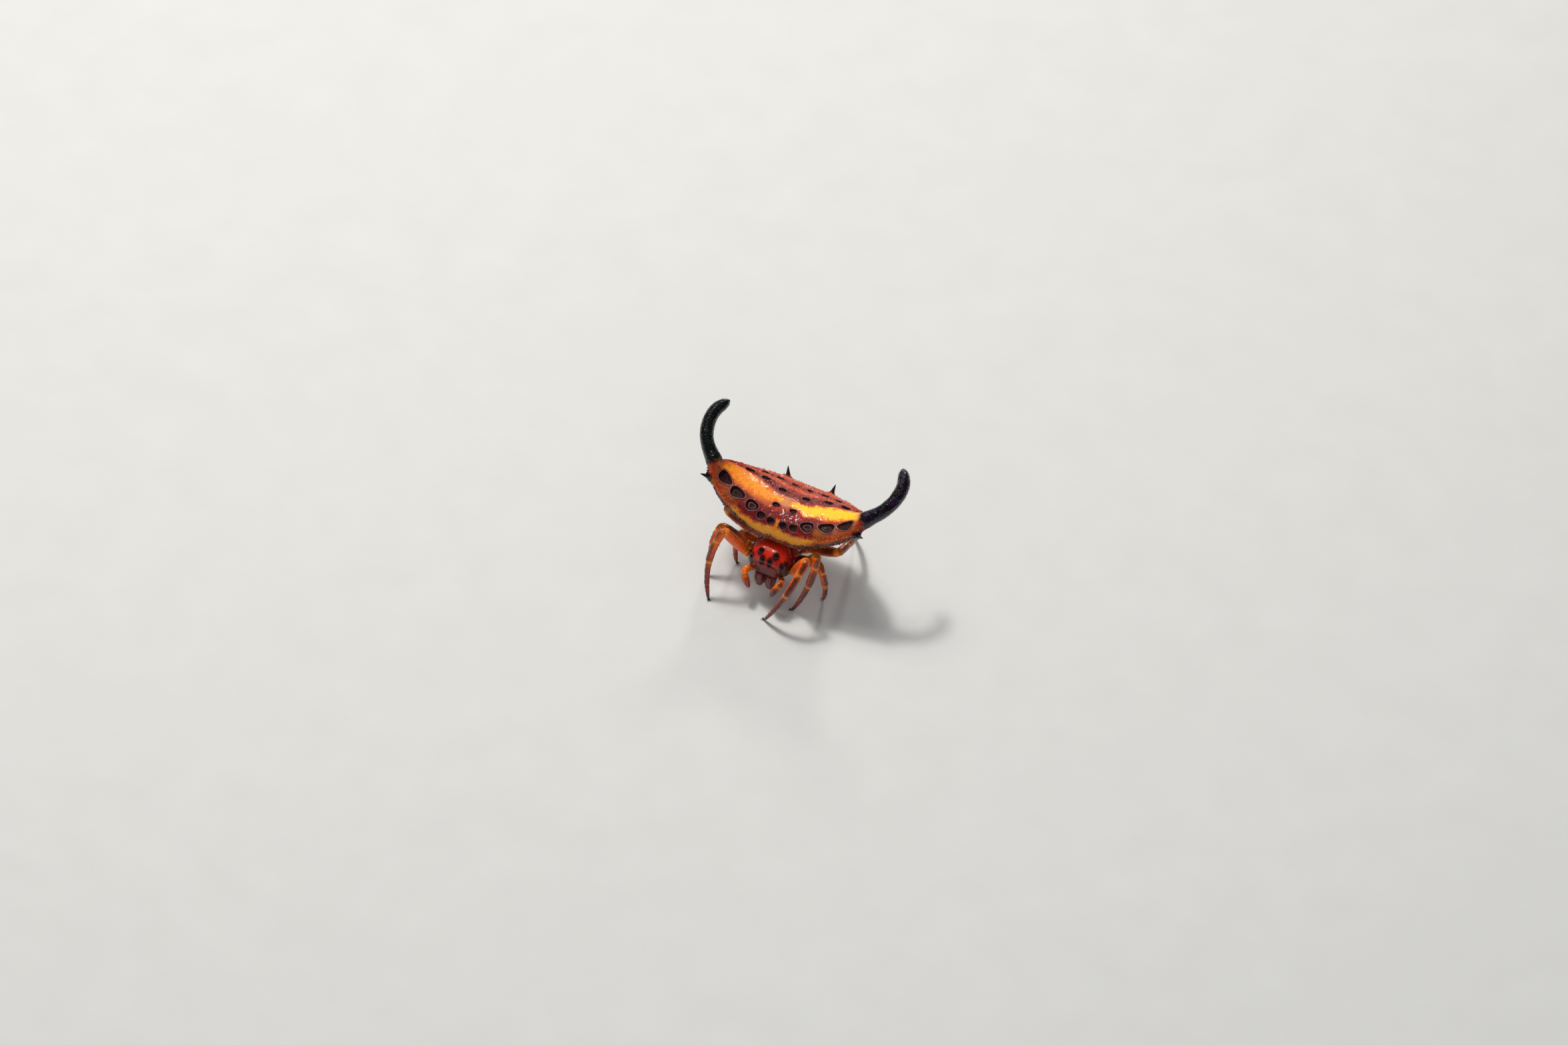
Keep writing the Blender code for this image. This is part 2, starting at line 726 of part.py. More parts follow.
def place_in_metres(nodes):
    """Turns millimetres into metres and sets the origin under the middle of the whole animal."""
    corners = [v.co for obj in nodes for v in obj.data.vertices]
    low = [min(c[k] for c in corners) for k in (0, 1)]
    high = [max(c[k] for c in corners) for k in (0, 1)]
    shift = Vector((-(low[0] + high[0]) / 2, -(low[1] + high[1]) / 2, 0.0))
    print("origin of the animal's own frame, in millimetres:", [round(s, 4) for s in shift])
    for obj in nodes:
        obj.data.transform(Matrix.Scale(MM, 4) @ Matrix.Translation(shift))
        obj.data.shade_smooth()
        obj.data.set_sharp_from_angle(angle=math.radians(SHARP_ANGLE))


def build():
    clear_scene()
    carapace = make_carapace()
    sternum = make_plate("sternum", STERNUM_CENTRE, STERNUM_HALF, STERNUM_THICKNESS, STERNUM_SIDES)
    abdomen = make_abdomen(carapace)
    mouth = make_plate("mouthparts", MOUTH_CENTRE, MOUTH_HALF, MOUTH_THICKNESS, MOUTH_SIDES)
    pedicel = tube("pedicel", PEDICEL_SPAN, (PEDICEL_RADIUS, PEDICEL_RADIUS), PEDICEL_SIDES)
    combine(pedicel, [grown(carapace, GAP), grown(abdomen, GAP)], "DIFFERENCE")
    spinnerets = make_spinnerets()
    eyes = make_eyes(carapace)

    horns, spines, jaws, palps = [], [], [], []
    for side_name, side in SIDES.items():
        horns.append(make_horn(side_name, side))
        jaws.append(make_jaw(side_name, side))
        palps.append(make_palp(side_name, side))
        for name, root, direction, length in SMALL_SPINES:
            spines.append(make_small_spine(name, root, direction, length, side_name, side))

    legs = []
    for pair, side_name in LEG_POSES:
        coxa, *rest = make_leg(pair, side_name)
        combine(coxa, [grown(sternum, GAP), grown(carapace, GAP)], "DIFFERENCE")
        legs += [coxa, *rest]

    paint([abdomen], "abdomen_shell")
    paint(horns + spines, "horn_black")
    paint([carapace, pedicel], "carapace_red")
    paint(legs + palps, "leg_orange")
    paint([sternum, mouth, spinnerets], "underside_brown")
    paint(jaws, "jaw_dark")
    paint(eyes, "eye_black")
    body = [carapace, sternum, abdomen, mouth, pedicel, spinnerets]
    place_in_metres(body + eyes + horns + spines + jaws + palps + legs)


build()
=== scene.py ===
# %% [markdown]
# # A horned orb weaver, life size
#
# This spider is 16 mm across its horns. Its body is a hard lacquered shield with two bands of yellow
# and rows of sunken dots, and two long black horns covered in fuzz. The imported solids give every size
# and place, so the lesson starts by loading them and keeps each skin on them.

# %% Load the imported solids
import math

import bpy
import numpy as np
from mathutils import Matrix, Vector, noise


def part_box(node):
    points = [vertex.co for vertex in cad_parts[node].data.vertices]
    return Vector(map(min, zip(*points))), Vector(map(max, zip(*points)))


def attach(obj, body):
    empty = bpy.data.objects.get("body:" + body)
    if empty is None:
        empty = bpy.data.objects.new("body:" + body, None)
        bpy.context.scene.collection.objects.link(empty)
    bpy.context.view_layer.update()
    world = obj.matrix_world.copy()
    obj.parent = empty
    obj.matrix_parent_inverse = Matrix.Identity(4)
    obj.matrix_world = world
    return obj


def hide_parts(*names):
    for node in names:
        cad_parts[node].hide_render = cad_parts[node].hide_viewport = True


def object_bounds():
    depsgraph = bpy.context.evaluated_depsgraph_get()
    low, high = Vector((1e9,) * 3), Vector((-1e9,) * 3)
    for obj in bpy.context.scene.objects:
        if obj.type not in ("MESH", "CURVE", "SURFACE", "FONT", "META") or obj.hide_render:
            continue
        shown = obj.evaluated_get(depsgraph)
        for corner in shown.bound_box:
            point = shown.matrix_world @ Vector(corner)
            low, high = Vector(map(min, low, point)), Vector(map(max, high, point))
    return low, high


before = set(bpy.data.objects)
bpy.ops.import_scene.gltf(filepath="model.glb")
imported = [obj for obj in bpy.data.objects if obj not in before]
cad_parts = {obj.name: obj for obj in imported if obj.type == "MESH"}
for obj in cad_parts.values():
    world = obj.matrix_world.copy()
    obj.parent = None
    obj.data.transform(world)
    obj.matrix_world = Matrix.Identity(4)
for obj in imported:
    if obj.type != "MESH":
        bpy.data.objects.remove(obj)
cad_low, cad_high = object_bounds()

print("solids:", len(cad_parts), "size in mm:", [round(s * 1000, 2) for s in cad_high - cad_low])

# %% [markdown]
# ## Units and the animal's own frame
#
# A spider this small is easier to think about in millimetres, in a frame of its own: it faces -Y, its
# left side is at +X and the floor is at 0. The solids were moved along Y so that the origin is under
# their middle. The mouthparts are a piece with a known place, so they tell how far. Faces are built as
# arrays of points, because a shape that follows a rule is one formula on an array.

# %% From the animal's millimetres to the frame's metres
MM = 0.001
BODY = "root"
SIDES = {"left": 1, "right": -1}
TINY = 1e-12
MOUTH_CENTRE = (0.0, -2.62, 2.15)
mouth_low, mouth_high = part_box("mouthparts")
SHIFT = np.array([0.0, (mouth_low.y + mouth_high.y) / 2 / MM - MOUTH_CENTRE[1], 0.0])


def unit(vectors):
    """Vectors at length 1."""
    vectors = np.asarray(vectors, float)
    return vectors / np.maximum(np.linalg.norm(vectors, axis=-1, keepdims=True), TINY)


def soft_step(low, high, value):
    """Rises smoothly from 0 at low to 1 at high."""
    t = np.clip((value - low) / (high - low), 0, 1)
    return t * t * (3 - 2 * t)


def hump(value, centre, width):
    """A smooth hump of height 1."""
    return np.exp(-(((value - centre) / width) ** 2))


def read_noise(points, size, read):
    """A value of a noise at each point, with distances counted in this size."""
    flat = points.reshape(-1, 3) / size
    return np.array([read(Vector(p)) for p in flat]).reshape(points.shape[:-1])


def lumps(points, size):
    """Smooth noise from -1 to 1 at each point, with lumps of about this size."""
    return read_noise(points, size, noise.noise)


def grains(points, size):
    """Rounded grains packed side by side: 1 on top of a grain and 0 between grains."""
    apart = read_noise(points, size, lambda p: noise.voronoi(p)[0][0])
    return 1 - np.clip(apart, 0, 1) ** 2


print("the solids were moved by", [round(s, 4) for s in SHIFT], "mm")

# %% [markdown]
# ## Reading the solids' curves
#
# The shield, horns and carapace were lofted through a few stations. The skins repeat those stations
# and read them in the same way, only much more finely, so a skin lies on its solid by construction.

# %% Curves through stations
def read_table(table, value):
    """Reads a table of pairs at a value, straight from one line to the next."""
    return np.interp(value, *np.array(table).T)


def read_curve(stations, shares):
    """A cubic through the stations, whose first column says where each one is, for an array of shares."""
    table = np.array(stations, float)
    at, values = table[:, 0], table[:, 1:]
    last = len(at) - 1
    slopes = np.zeros_like(values)
    for j in range(1, last + 1):
        after = min(j + 1, last)
        slopes[j] = (values[after] - values[j - 1]) / (at[after] - at[j - 1])
    shares = np.asarray(shares, float)
    i = np.clip(np.searchsorted(at, shares) - 1, 0, last - 1)
    width = (at[i + 1] - at[i])[..., None]
    t = (shares - at[i])[..., None] / width
    start = (2 * t**3 - 3 * t**2 + 1) * values[i] + (t**3 - 2 * t**2 + t) * width * slopes[i]
    return start + (3 * t**2 - 2 * t**3) * values[i + 1] + (t**3 - t**2) * width * slopes[i + 1]


def spline(points, t):
    """Points on a Catmull-Rom curve, t from 0 to 1."""
    p = np.array(points, float)
    p = np.vstack([2 * p[0] - p[1], p, 2 * p[-1] - p[-2]])
    spans = len(p) - 3
    where = np.clip(t, 0, 1) * spans
    i = np.minimum(where.astype(int), spans - 1)
    u = (where - i)[..., None]
    a, b, c, d = p[i], p[i + 1], p[i + 2], p[i + 3]
    return 0.5 * (2 * b + (c - a) * u + (2 * a - 5 * b + 4 * c - d) * u**2 + (3 * b - a - 3 * c + d) * u**3)


def trace(line):
    """How far along a line each of its points is."""
    return np.concatenate([[0], np.cumsum(np.linalg.norm(np.diff(line, axis=0), axis=1))])


def even_steps(line, count, closed=False):
    """The same line with its points spread evenly; a closed one leaves out its last point."""
    lengths = trace(line)
    wanted = np.linspace(0, lengths[-1], count, endpoint=not closed)
    return np.stack([np.interp(wanted, lengths, line[:, k]) for k in range(line.shape[1])], axis=1)


# %% [markdown]
# ## A skin from rings
#
# Nearly every part of a spider is a tube, a cone or a dome, so one function closes a skin through
# rings of points. It also lays the skin out as a map named OFBake, one step along for each ring, and
# keeps numbers on the points, such as how far along the leg a point is. The finishes read them.

# %% Faces and map of a skin
MAP_MARGIN = 0.01


def ring_faces(count, around):
    """Quads between the rings and a fan of triangles over each end, as numbers of points."""
    here = np.arange(around)
    beside = (here + 1) % around
    row = np.arange(count - 1)[:, None] * around
    quads = np.stack([row + here, row + beside, row + around + beside, row + around + here], -1)
    first = np.stack([np.full(around, count * around), beside, here], -1)
    end = (count - 1) * around
    last = np.stack([np.full(around, count * around + 1), end + here, end + beside], -1)
    return [quads.reshape(-1, 4), first, last]


def ring_maps(count, around):
    """Where the corners of those faces lie on the map: one step along for each ring."""
    along = np.linspace(MAP_MARGIN, 1 - MAP_MARGIN, count)
    across = np.linspace(0, 1, around + 1)
    low, high = across[:-1], across[1:]
    middle = (low + high) / 2
    u, v = np.meshgrid(along[:-1], low, indexing="ij")
    next_u, next_v = np.meshgrid(along[1:], high, indexing="ij")
    corners = ((u, v), (u, next_v), (next_u, next_v), (next_u, v))
    quad_map = np.stack([np.stack(c, -1) for c in corners], 2).reshape(-1, 4, 2)
    fans = []
    for tip, ring, sides in ((0, along[0], (high, low)), (1, along[-1], (low, high))):
        corners = ((tip, middle), (ring, sides[0]), (ring, sides[1]))
        fans.append(np.stack([np.stack([np.full(around, u), v], -1) for u, v in corners], 1))
    return [quad_map, *fans]


# %% Making a skin and dressing it
SHARP_FROM = math.radians(60)
made_pieces = []


def ring_skin(name, rings, numbers=None, lie=None):
    """A closed mesh through rings (ring, point, xyz) in the animal's millimetres."""
    count, around = rings.shape[:2]
    points = np.vstack([rings.reshape(-1, 3), rings[0].mean(0), rings[-1].mean(0)])
    faces, maps = ring_faces(count, around), ring_maps(count, around)
    a, b, c = (points[faces[0][:, k]] for k in (0, 1, 2))
    from_middle = points[faces[0]].mean(1) - points.mean(0)
    if np.einsum("ij,ij->i", from_middle, np.cross(b - a, c - a)).sum() < 0:
        faces, maps = [f[:, ::-1] for f in faces], [m[:, ::-1] for m in maps]

    mesh = bpy.data.meshes.new(name)
    mesh.from_pydata(((points + SHIFT) * MM).tolist(), [], sum((f.tolist() for f in faces), []))
    mesh.polygons.foreach_set("use_smooth", np.ones(len(mesh.polygons), bool))
    mesh.set_sharp_from_angle(angle=SHARP_FROM)
    laid = mesh.uv_layers.new(name="OFBake")
    laid.data.foreach_set("uv", np.concatenate([m.reshape(-1) for m in maps]).astype(np.float32))
    obj = bpy.data.objects.new(name, mesh)
    bpy.context.scene.collection.objects.link(obj)
    for label, values in (numbers or {}).items():
        values = np.broadcast_to(values, (count, around))
        ends = [values[0].mean(), values[-1].mean()]
        kept = mesh.attributes.new(label, "FLOAT", "POINT")
        kept.data.foreach_set("value", np.concatenate([values.reshape(-1), ends]).astype(np.float32))
    if lie is not None:
        lie = np.broadcast_to(lie, (count, around, 3)).reshape(-1, 3)
        lie = np.vstack([lie, lie[:1], lie[-1:]])
        kept = mesh.attributes.new("lie", "FLOAT_VECTOR", "POINT")
        kept.data.foreach_set("vector", lie.astype(np.float32).reshape(-1))
    return obj


def wear(obj, finish):
    """Gives a finished piece its finish and the body it rides on, and adds it to the list of made pieces."""
    obj.data.materials.clear()
    obj.data.materials.append(finish)
    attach(obj, BODY)
    made_pieces.append(obj)


# %% Tubes and rough surfaces
def round_turns(count):
    """Angles spread evenly round a ring."""
    return np.linspace(0, 2 * np.pi, count, endpoint=False)


def squared_circle(turns, squareness):
    """A circle drawn out towards a square, as two lists: across and up."""
    power = 2 / squareness
    return [np.sign(part) * np.abs(part) ** power for part in (np.cos(turns), np.sin(turns))]


def outward(rings):
    """The outward direction at each point of a grid of rings."""
    along = np.gradient(rings, axis=0)
    around = np.roll(rings, -1, axis=1) - np.roll(rings, 1, axis=1)
    normals = unit(np.cross(along, around))
    middles = rings.mean(1, keepdims=True)
    return normals * np.sign(((rings - middles) * normals).sum(-1).mean())


def tube_rings(line, radii, sideways, around):
    """Rings round a middle line; point 0 of each ring is on its back."""
    heading = unit(np.gradient(line, axis=0))
    sideways = np.broadcast_to(np.asarray(sideways, float), line.shape)
    sideways = unit(sideways - (sideways * heading).sum(-1, keepdims=True) * heading)
    back = np.cross(heading, sideways)
    turns = round_turns(around)[:, None]
    radii = np.asarray(radii)[:, None, None]
    return line[:, None] + radii * (np.cos(turns) * back[:, None] + np.sin(turns) * sideways[:, None])


def roughened(rings, *kinds):
    """The rings with each kind of lumps raised on them, given as a height and a size."""
    raised = sum(height * lumps(rings, size) for height, size in kinds)
    return rings + outward(rings) * raised[..., None]


# %% [markdown]
# ## Writing node trees as sums
#
# A finish is easier to read as a sum than as a picture of boxes. A Wire stands for one output of a
# node. Adding, multiplying or comparing wires adds the Math or Vector Math nodes that work it out,
# and a Tree adds any other node by its type, its settings and what goes into its sockets.

# %% Wires
def pick(sockets, key):
    """A socket that is in use, by its place or its name."""
    used = [s for s in sockets if s.enabled]
    return used[key] if isinstance(key, int) else next(s for s in used if s.name == key)


class Wire:
    """One output of a node, which can be used in sums."""

    def __init__(self, tree, socket):
        self.tree = tree
        self.socket = socket

    def other(self, name):
        return Wire(self.tree, pick(self.socket.node.outputs, name))

    def maths(self, operation, *terms):
        wires = [t.socket.type for t in terms if isinstance(t, Wire)]
        kind = "ShaderNodeVectorMath" if "VECTOR" in wires else "ShaderNodeMath"
        return self.tree.node(kind, {"operation": operation}, dict(enumerate(terms)))

    def __add__(self, other):
        return self.maths("ADD", self, other)

    def __sub__(self, other):
        return self.maths("SUBTRACT", self, other)

    def __rsub__(self, other):
        return self.maths("SUBTRACT", other, self)

    def __mul__(self, other):
        return self.maths("MULTIPLY", self, other)

    def __truediv__(self, other):
        return self.maths("DIVIDE", self, other)

    def __abs__(self):
        return self.maths("ABSOLUTE", self)

    __radd__ = __add__
    __rmul__ = __mul__


# %% Trees
class Tree:
    """A node tree that is being written."""

    def __init__(self, tree):
        self.tree = tree

    def node(self, kind, settings=None, inputs=None, output=0):
        made = self.tree.nodes.new(kind)
        for name, value in (settings or {}).items():
            if name == "stops":
                self.place_stops(made.color_ramp, value)
            else:
                setattr(made, name, value)
        for key, value in (inputs or {}).items():
            self.fill(pick(made.inputs, key), value)
        return Wire(self, pick(made.outputs, output))

    def fill(self, socket, value):
        if isinstance(value, Wire):
            self.tree.links.new(value.socket, socket)
        elif socket.type == "RGBA":
            socket.default_value = (*value, 1.0)
        elif socket.type == "VECTOR" and isinstance(value, (int, float)):
            socket.default_value = (value, value, value)
        else:
            socket.default_value = value

    def place_stops(self, ramp, stops):
        while len(ramp.elements) < len(stops):
            ramp.elements.new(1.0)
        for element, (place, colour) in zip(ramp.elements, stops):
            element.position = place
            element.color = (*colour, 1.0)


# %% Finishes
class Finish(Tree):
    """A material that is being written, with the few helpers that every finish here uses."""

    def __init__(self, name, **constants):
        self.material = bpy.data.materials.new(name)
        self.material.use_nodes = True
        super().__init__(self.material.node_tree)
        self.shader = self.tree.nodes["Principled BSDF"]
        self.where = self.node("ShaderNodeTexCoord", output="Object")
        self.colour = None
        for socket, value in constants.items():
            self.set(socket.replace("_", " "), value)

    def set(self, socket, value):
        self.fill(self.shader.inputs[socket], value)

    def number(self, name):
        return self.node("ShaderNodeAttribute", {"attribute_name": name}, output="Fac")

    def noise(self, size, detail=2.0):
        """Cloudy noise about 0.5, with clouds of this many millimetres."""
        inputs = {"Vector": self.where, "Scale": 1 / (size * MM), "Detail": detail}
        return self.node("ShaderNodeTexNoise", None, inputs, "Fac")

    def sway(self, size, amount, detail=2.0):
        """Cloudy noise about 0, which frays an edge by up to half this amount each way."""
        return (self.noise(size, detail) - 0.5) * amount

    def cells(self, size):
        """Distance from the middle of the nearest cell, for grains of this many millimetres."""
        inputs = {"Vector": self.where, "Scale": 1 / (size * MM)}
        return self.node("ShaderNodeTexVoronoi", None, inputs, "Distance")

    def place_along(self, axis):
        """Where a point lies along X, Y or Z, in millimetres."""
        return self.node("ShaderNodeSeparateXYZ", None, {0: self.where}, axis) / MM

    def step(self, value, low, high):
        settings = {"interpolation_type": "SMOOTHSTEP"}
        return self.node("ShaderNodeMapRange", settings, {"Value": value, "From Min": low, "From Max": high})

    def mix(self, first, second, share):
        inputs = {"Factor": share, "A": first, "B": second}
        return self.node("ShaderNodeMix", {"data_type": "RGBA"}, inputs)

    def lay(self, colour, share=None):
        """Lays a colour over those laid before it, and wears the result."""
        self.colour = colour if share is None else self.mix(self.colour, colour, share)
        self.set("Base Color", self.colour)

    def ramp(self, value, stops):
        return self.node("ShaderNodeValToRGB", {"stops": stops}, {"Fac": value}, "Color")

    def raise_by(self, height, millimetres):
        """Bumps the surface by a height from 0 to 1."""
        bump = {"Height": height, "Distance": millimetres * MM, "Strength": 1.0}
        self.set("Normal", self.node("ShaderNodeBump", None, bump))


print("node helpers ready")

# %% [markdown]
# ## The shield's shape
#
# The abdomen is one hard plate, wider than it is long, that rises at both ends into the horns. Its
# sections run from a steep front face over the crown to a thin rear edge and back underneath. A skin
# of evenly spaced points over those sections is fine enough to press the dots into and to raise the
# bands on, and a grid keeps a sense of direction that a sculpted lump would lose.

# %% The shield's stations, as in the solids
HALF_WIDTH = 6.1
FRONT_MARGIN = (
    (0.0, -2.30, 4.72), (0.25, -2.32, 4.84), (0.42, -2.28, 5.25), (0.6, -2.15, 5.85), (0.76, -1.88, 6.42),
    (0.9, -1.35, 6.98), (1.0, -0.6, 7.7),
)
REAR_MARGIN = (
    (0.0, 3.42, 4.95), (0.28, 3.32, 5.06), (0.5, 2.9, 5.46), (0.74, 2.0, 6.28), (0.9, 1.05, 7.3),
    (1.0, 0.55, 8.05),
)
CROWN = (
    (0.0, 0.2, 6.78), (0.4, 0.2, 6.92), (0.64, 0.15, 7.1), (0.8, 0.05, 7.42), (0.91, 0.0, 7.95),
    (1.0, 0.0, 8.55),
)
UNDERSIDE_DROP = 0.75
UNDERSIDE_THINS = 0.2
FRONT_SQUARENESS = 3.5
REAR_SQUARENESS = 1.55
UNDER_SQUARENESS = 1.3
ROUND = 2
END_BLEND_FROM = 0.88
HORN_PATH = (
    (6.15, -0.05, 8.12), (7.05, 0.68, 8.76), (7.54, 1.7, 9.28), (7.55, 2.84, 9.76), (6.97, 3.95, 10.1),
)
HORN_RADII = ((0.0, 0.6), (0.1, 0.53), (0.25, 0.49), (0.7, 0.48), (0.86, 0.42), (0.95, 0.28), (1.0, 0.06))
HORN_LOOK_AHEAD = 0.02
horn_start = np.array(HORN_PATH[0])
horn_heading = unit(spline(HORN_PATH, np.array([HORN_LOOK_AHEAD]))[0] - horn_start)
print("each horn leaves the shield along", [round(s, 2) for s in horn_heading])

# %% The shield's sections
def shield_sections(shares, turns):
    """The shield's sections at shares of its half width: from the front margin over the crown and back."""
    front, rear, crown = (read_curve(t, shares)[:, None] for t in (FRONT_MARGIN, REAR_MARGIN, CROWN))
    shares = shares[:, None]
    outward_part, lift = np.cos(turns)[None], np.sin(turns)[None]
    ahead, above = outward_part > 0, lift >= 0
    edge = np.where(ahead[..., None], front, rear)
    drop = UNDERSIDE_DROP * (1 - UNDERSIDE_THINS * shares)
    low_z = np.minimum(front[..., 1], rear[..., 1]) - drop
    squareness = np.where(above, np.where(ahead, FRONT_SQUARENESS, REAR_SQUARENESS), UNDER_SQUARENESS)
    squareness = squareness + (ROUND - squareness) * shares**3
    peak = np.where(above, crown[..., 1], low_z)
    reach = np.abs(outward_part) ** (2 / squareness)
    rise = np.abs(lift) ** (2 / squareness)
    y = crown[..., 0] + (edge[..., 0] - crown[..., 0]) * reach
    z = edge[..., 1] + (peak - edge[..., 1]) * rise
    return np.stack([np.broadcast_to(HALF_WIDTH * shares, y.shape), y, z], -1)


def shield_with_horn_roots(shares, turns):
    """The sections again, which turn into the horn's round root towards the end."""
    flat = shield_sections(shares, turns)
    up = np.array([0.0, 0.0, 1.0])
    over = unit(up - horn_heading[2] * horn_heading)
    ahead = np.cross(over, horn_heading)
    ahead = -ahead if ahead[1] > 0 else ahead
    back = HALF_WIDTH * (1 - shares[:, None, None]) / horn_heading[0]
    circle = np.cos(turns)[:, None] * ahead + np.sin(turns)[:, None] * over
    round_root = horn_start - horn_heading * back + HORN_RADII[0][1] * circle[None]
    share = soft_step(END_BLEND_FROM, 1, shares)[:, None, None]
    return flat + (round_root - flat) * share


# %% [markdown]
# ## Finding one's way on the shield
#
# The bands and the rows of dots all run from side to side, and bend as they do. The skin gets a
# number named lane that counts across them: 0 at the front edge, 1 and 2 at the edges of the first
# yellow band, 4 and 5 at those of the second, and 10 at the rear edge. Underneath it goes on to 11 and
# starts again at 0 in the middle, where one brown covers the jump. The finish then needs one ramp of
# colours, and its noise can fray a band's edge without ever breaking the band.

# %% Guide lines across the shield
RIM_TOP = ((0, 0.42), (2, 0.4), (3.1, 0.36), (4.5, 0.3), (6.1, 0.2))
FIRST_BAND_TOP = (
    (0, 1.35), (1, 1.18), (2, 1.02), (3.1, 0.8), (3.8, 0.6), (5, 0.45), (6.1, 0.3),
)
FRONT_DOTS = (
    (0, -1.95), (0.5, -1.94), (1.28, -1.88), (2.22, -1.55), (3.6, -1.18), (4.83, -0.66), (6.1, -0.42),
)
SECOND_BAND_FRONT = (
    (0, -0.62), (0.7, -0.5), (1.4, -0.66), (2.5, -0.68), (3.4, -0.47), (4.3, -0.3), (4.9, -0.16),
    (5.4, -0.3), (6.1, -0.4),
)
SECOND_BAND_REAR = (
    (0, 0.3), (0.8, 0.12), (1.4, 0.2), (1.9, 0.5), (2.5, 0.62), (3.1, 0.92), (3.8, 0.95), (4.3, 1.05),
    (5.1, 0.92), (6.1, 0.4),
)
REAR_DOTS = (
    (0, 0.72), (0.97, 0.8), (1.7, 0.98), (2.5, 1.3), (3.85, 1.38), (4.6, 1.3), (5.1, 1.1), (6.1, 0.5),
)
REAR_STRIPE = (
    (0, 1.45), (1, 1.5), (1.8, 1.75), (2.9, 1.76), (3.85, 1.72), (4.6, 1.48), (5.1, 1.2), (6.1, 0.55),
)
LAST_DOTS = (
    (0, 2.1), (0.6, 2.12), (1.8, 2.2), (2.95, 2.06), (3.85, 1.9), (4.6, 1.56), (5.1, 1.28), (6.1, 0.6),
)
REAR_RIM = ((0, 2.62), (1.8, 2.6), (2.95, 2.36), (3.85, 2.02), (4.6, 1.62), (5.1, 1.34), (6.1, 0.65))
HEIGHT_GUIDES = (RIM_TOP, FIRST_BAND_TOP)
LENGTH_GUIDES = (
    FRONT_DOTS, SECOND_BAND_FRONT, SECOND_BAND_REAR, REAR_DOTS, REAR_STRIPE, LAST_DOTS, REAR_RIM,
)
LAST_LANE = 10
UNDER_LANES = 2
print("guide lines:", len(HEIGHT_GUIDES) + len(LENGTH_GUIDES))

# %% Where a section crosses the guide lines
LEAST_STEP = 0.02


def guide_lengths(x, line, lengths, front_points):
    """How far over the shield each guide line crosses one section, measured from the front edge."""
    found = [0.0]
    y, z = line[:, 1], line[:, 2]
    for guide in HEIGHT_GUIDES:
        height = read_table(guide, x)
        found.append(np.interp(z[0] + height, z[:front_points], lengths[:front_points]))
    for guide in LENGTH_GUIDES:
        found.append(np.interp(read_table(guide, x), y, lengths))
    found.append(lengths[-1])
    for i in range(1, len(found)):
        found[i] = max(found[i], found[i - 1] + LEAST_STEP)
    return np.minimum(found, lengths[-1] - LEAST_STEP * (LAST_LANE - np.arange(len(found))))


# %% Lay the grid over the shield
SHELL_COLUMNS = 321
UPPER_ROWS = 190
LOWER_ROWS = 84
QUARTER = 150
UNDER_FADE = 0.12
quarter_turns = (1 - np.cos(np.linspace(0, np.pi, QUARTER, endpoint=False))) * np.pi / 4
fine_turns = np.concatenate([quarter_turns + k * np.pi / 2 for k in range(4)] + [[2 * np.pi]])
columns = np.linspace(-1, 1, SHELL_COLUMNS)
fine = shield_with_horn_roots(np.abs(columns), fine_turns)
shell_rings = np.zeros((SHELL_COLUMNS, UPPER_ROWS + LOWER_ROWS, 3))
lane = np.zeros(shell_rings.shape[:2])
under = np.zeros_like(lane)
for i, line in enumerate(fine):
    upper, lower = line[: 2 * QUARTER + 1], line[2 * QUARTER :]
    shell_rings[i, :UPPER_ROWS] = even_steps(upper, UPPER_ROWS, closed=True)
    shell_rings[i, UPPER_ROWS:] = even_steps(lower, LOWER_ROWS, closed=True)
    lengths = trace(upper)
    steps = np.linspace(0, lengths[-1], UPPER_ROWS, endpoint=False)
    guides = guide_lengths(upper[0, 0], upper, lengths, QUARTER + 1)
    lane[i, :UPPER_ROWS] = np.interp(steps, guides, np.arange(LAST_LANE + 1))
    share = np.linspace(0, 1, LOWER_ROWS, endpoint=False)
    lane[i, UPPER_ROWS:] = np.where(share < 0.5, LAST_LANE + UNDER_LANES * share, 0)
    under[i, UPPER_ROWS:] = soft_step(0, UNDER_FADE, share) * soft_step(0, UNDER_FADE, 1 - share)
shell_rings[:, :, 0] *= np.where(columns < 0, -1, 1)[:, None]
print("shield grid:", shell_rings.shape[:2], "points, lanes to", round(float(lane.max()), 2))

# %% [markdown]
# ## Belly, dots and relief
#
# Underneath, the shield swells into a low cone that ends in the spinnerets. Pushing the underside down
# onto that cone, with a soft fillet, keeps shield and belly one skin. On top, each dot is a muscle's
# anchor: a sunken dull floor with a thin raised lip, and in some a ring round a deeper pit. The bands
# stand a little proud and the dark rows lie a little lower. All of it moves points along the outward
# direction, so it is real shape and shows in the outline too. Last, the shell is drawn up into a low
# foot round each small spine.

# %% Push the belly out of the underside
BELLY_AT = (0.0, 1.6)
BELLY_RINGS = (
    (2.3, 0.62, 0.6), (2.5, 0.8, 0.72), (3.0, 1.15, 0.8), (3.7, 1.75, 1.15), (4.5, 2.5, 1.55),
    (5.2, 3.0, 1.75), (6.4, 3.9, 2.3),
)
BELLY_LEVELS = 90
BELLY_LONGER = 1.6
BELLY_SPREAD = 0.6
FILLET = 0.16
FOLDS = 17
FOLD_DEPTH = 0.035
FOLDS_FADE = (3.9, 4.9)
FAR_ABOVE = 20.0
belly_levels = np.linspace(BELLY_RINGS[0][0], BELLY_RINGS[-1][0], BELLY_LEVELS)
belly_radii = np.stack([np.interp(belly_levels, *np.array(BELLY_RINGS).T[[0, k]]) for k in (1, 2)], 1)
low_part = shell_rings[:, UPPER_ROWS:]
from_axis = low_part[..., :2] - BELLY_AT
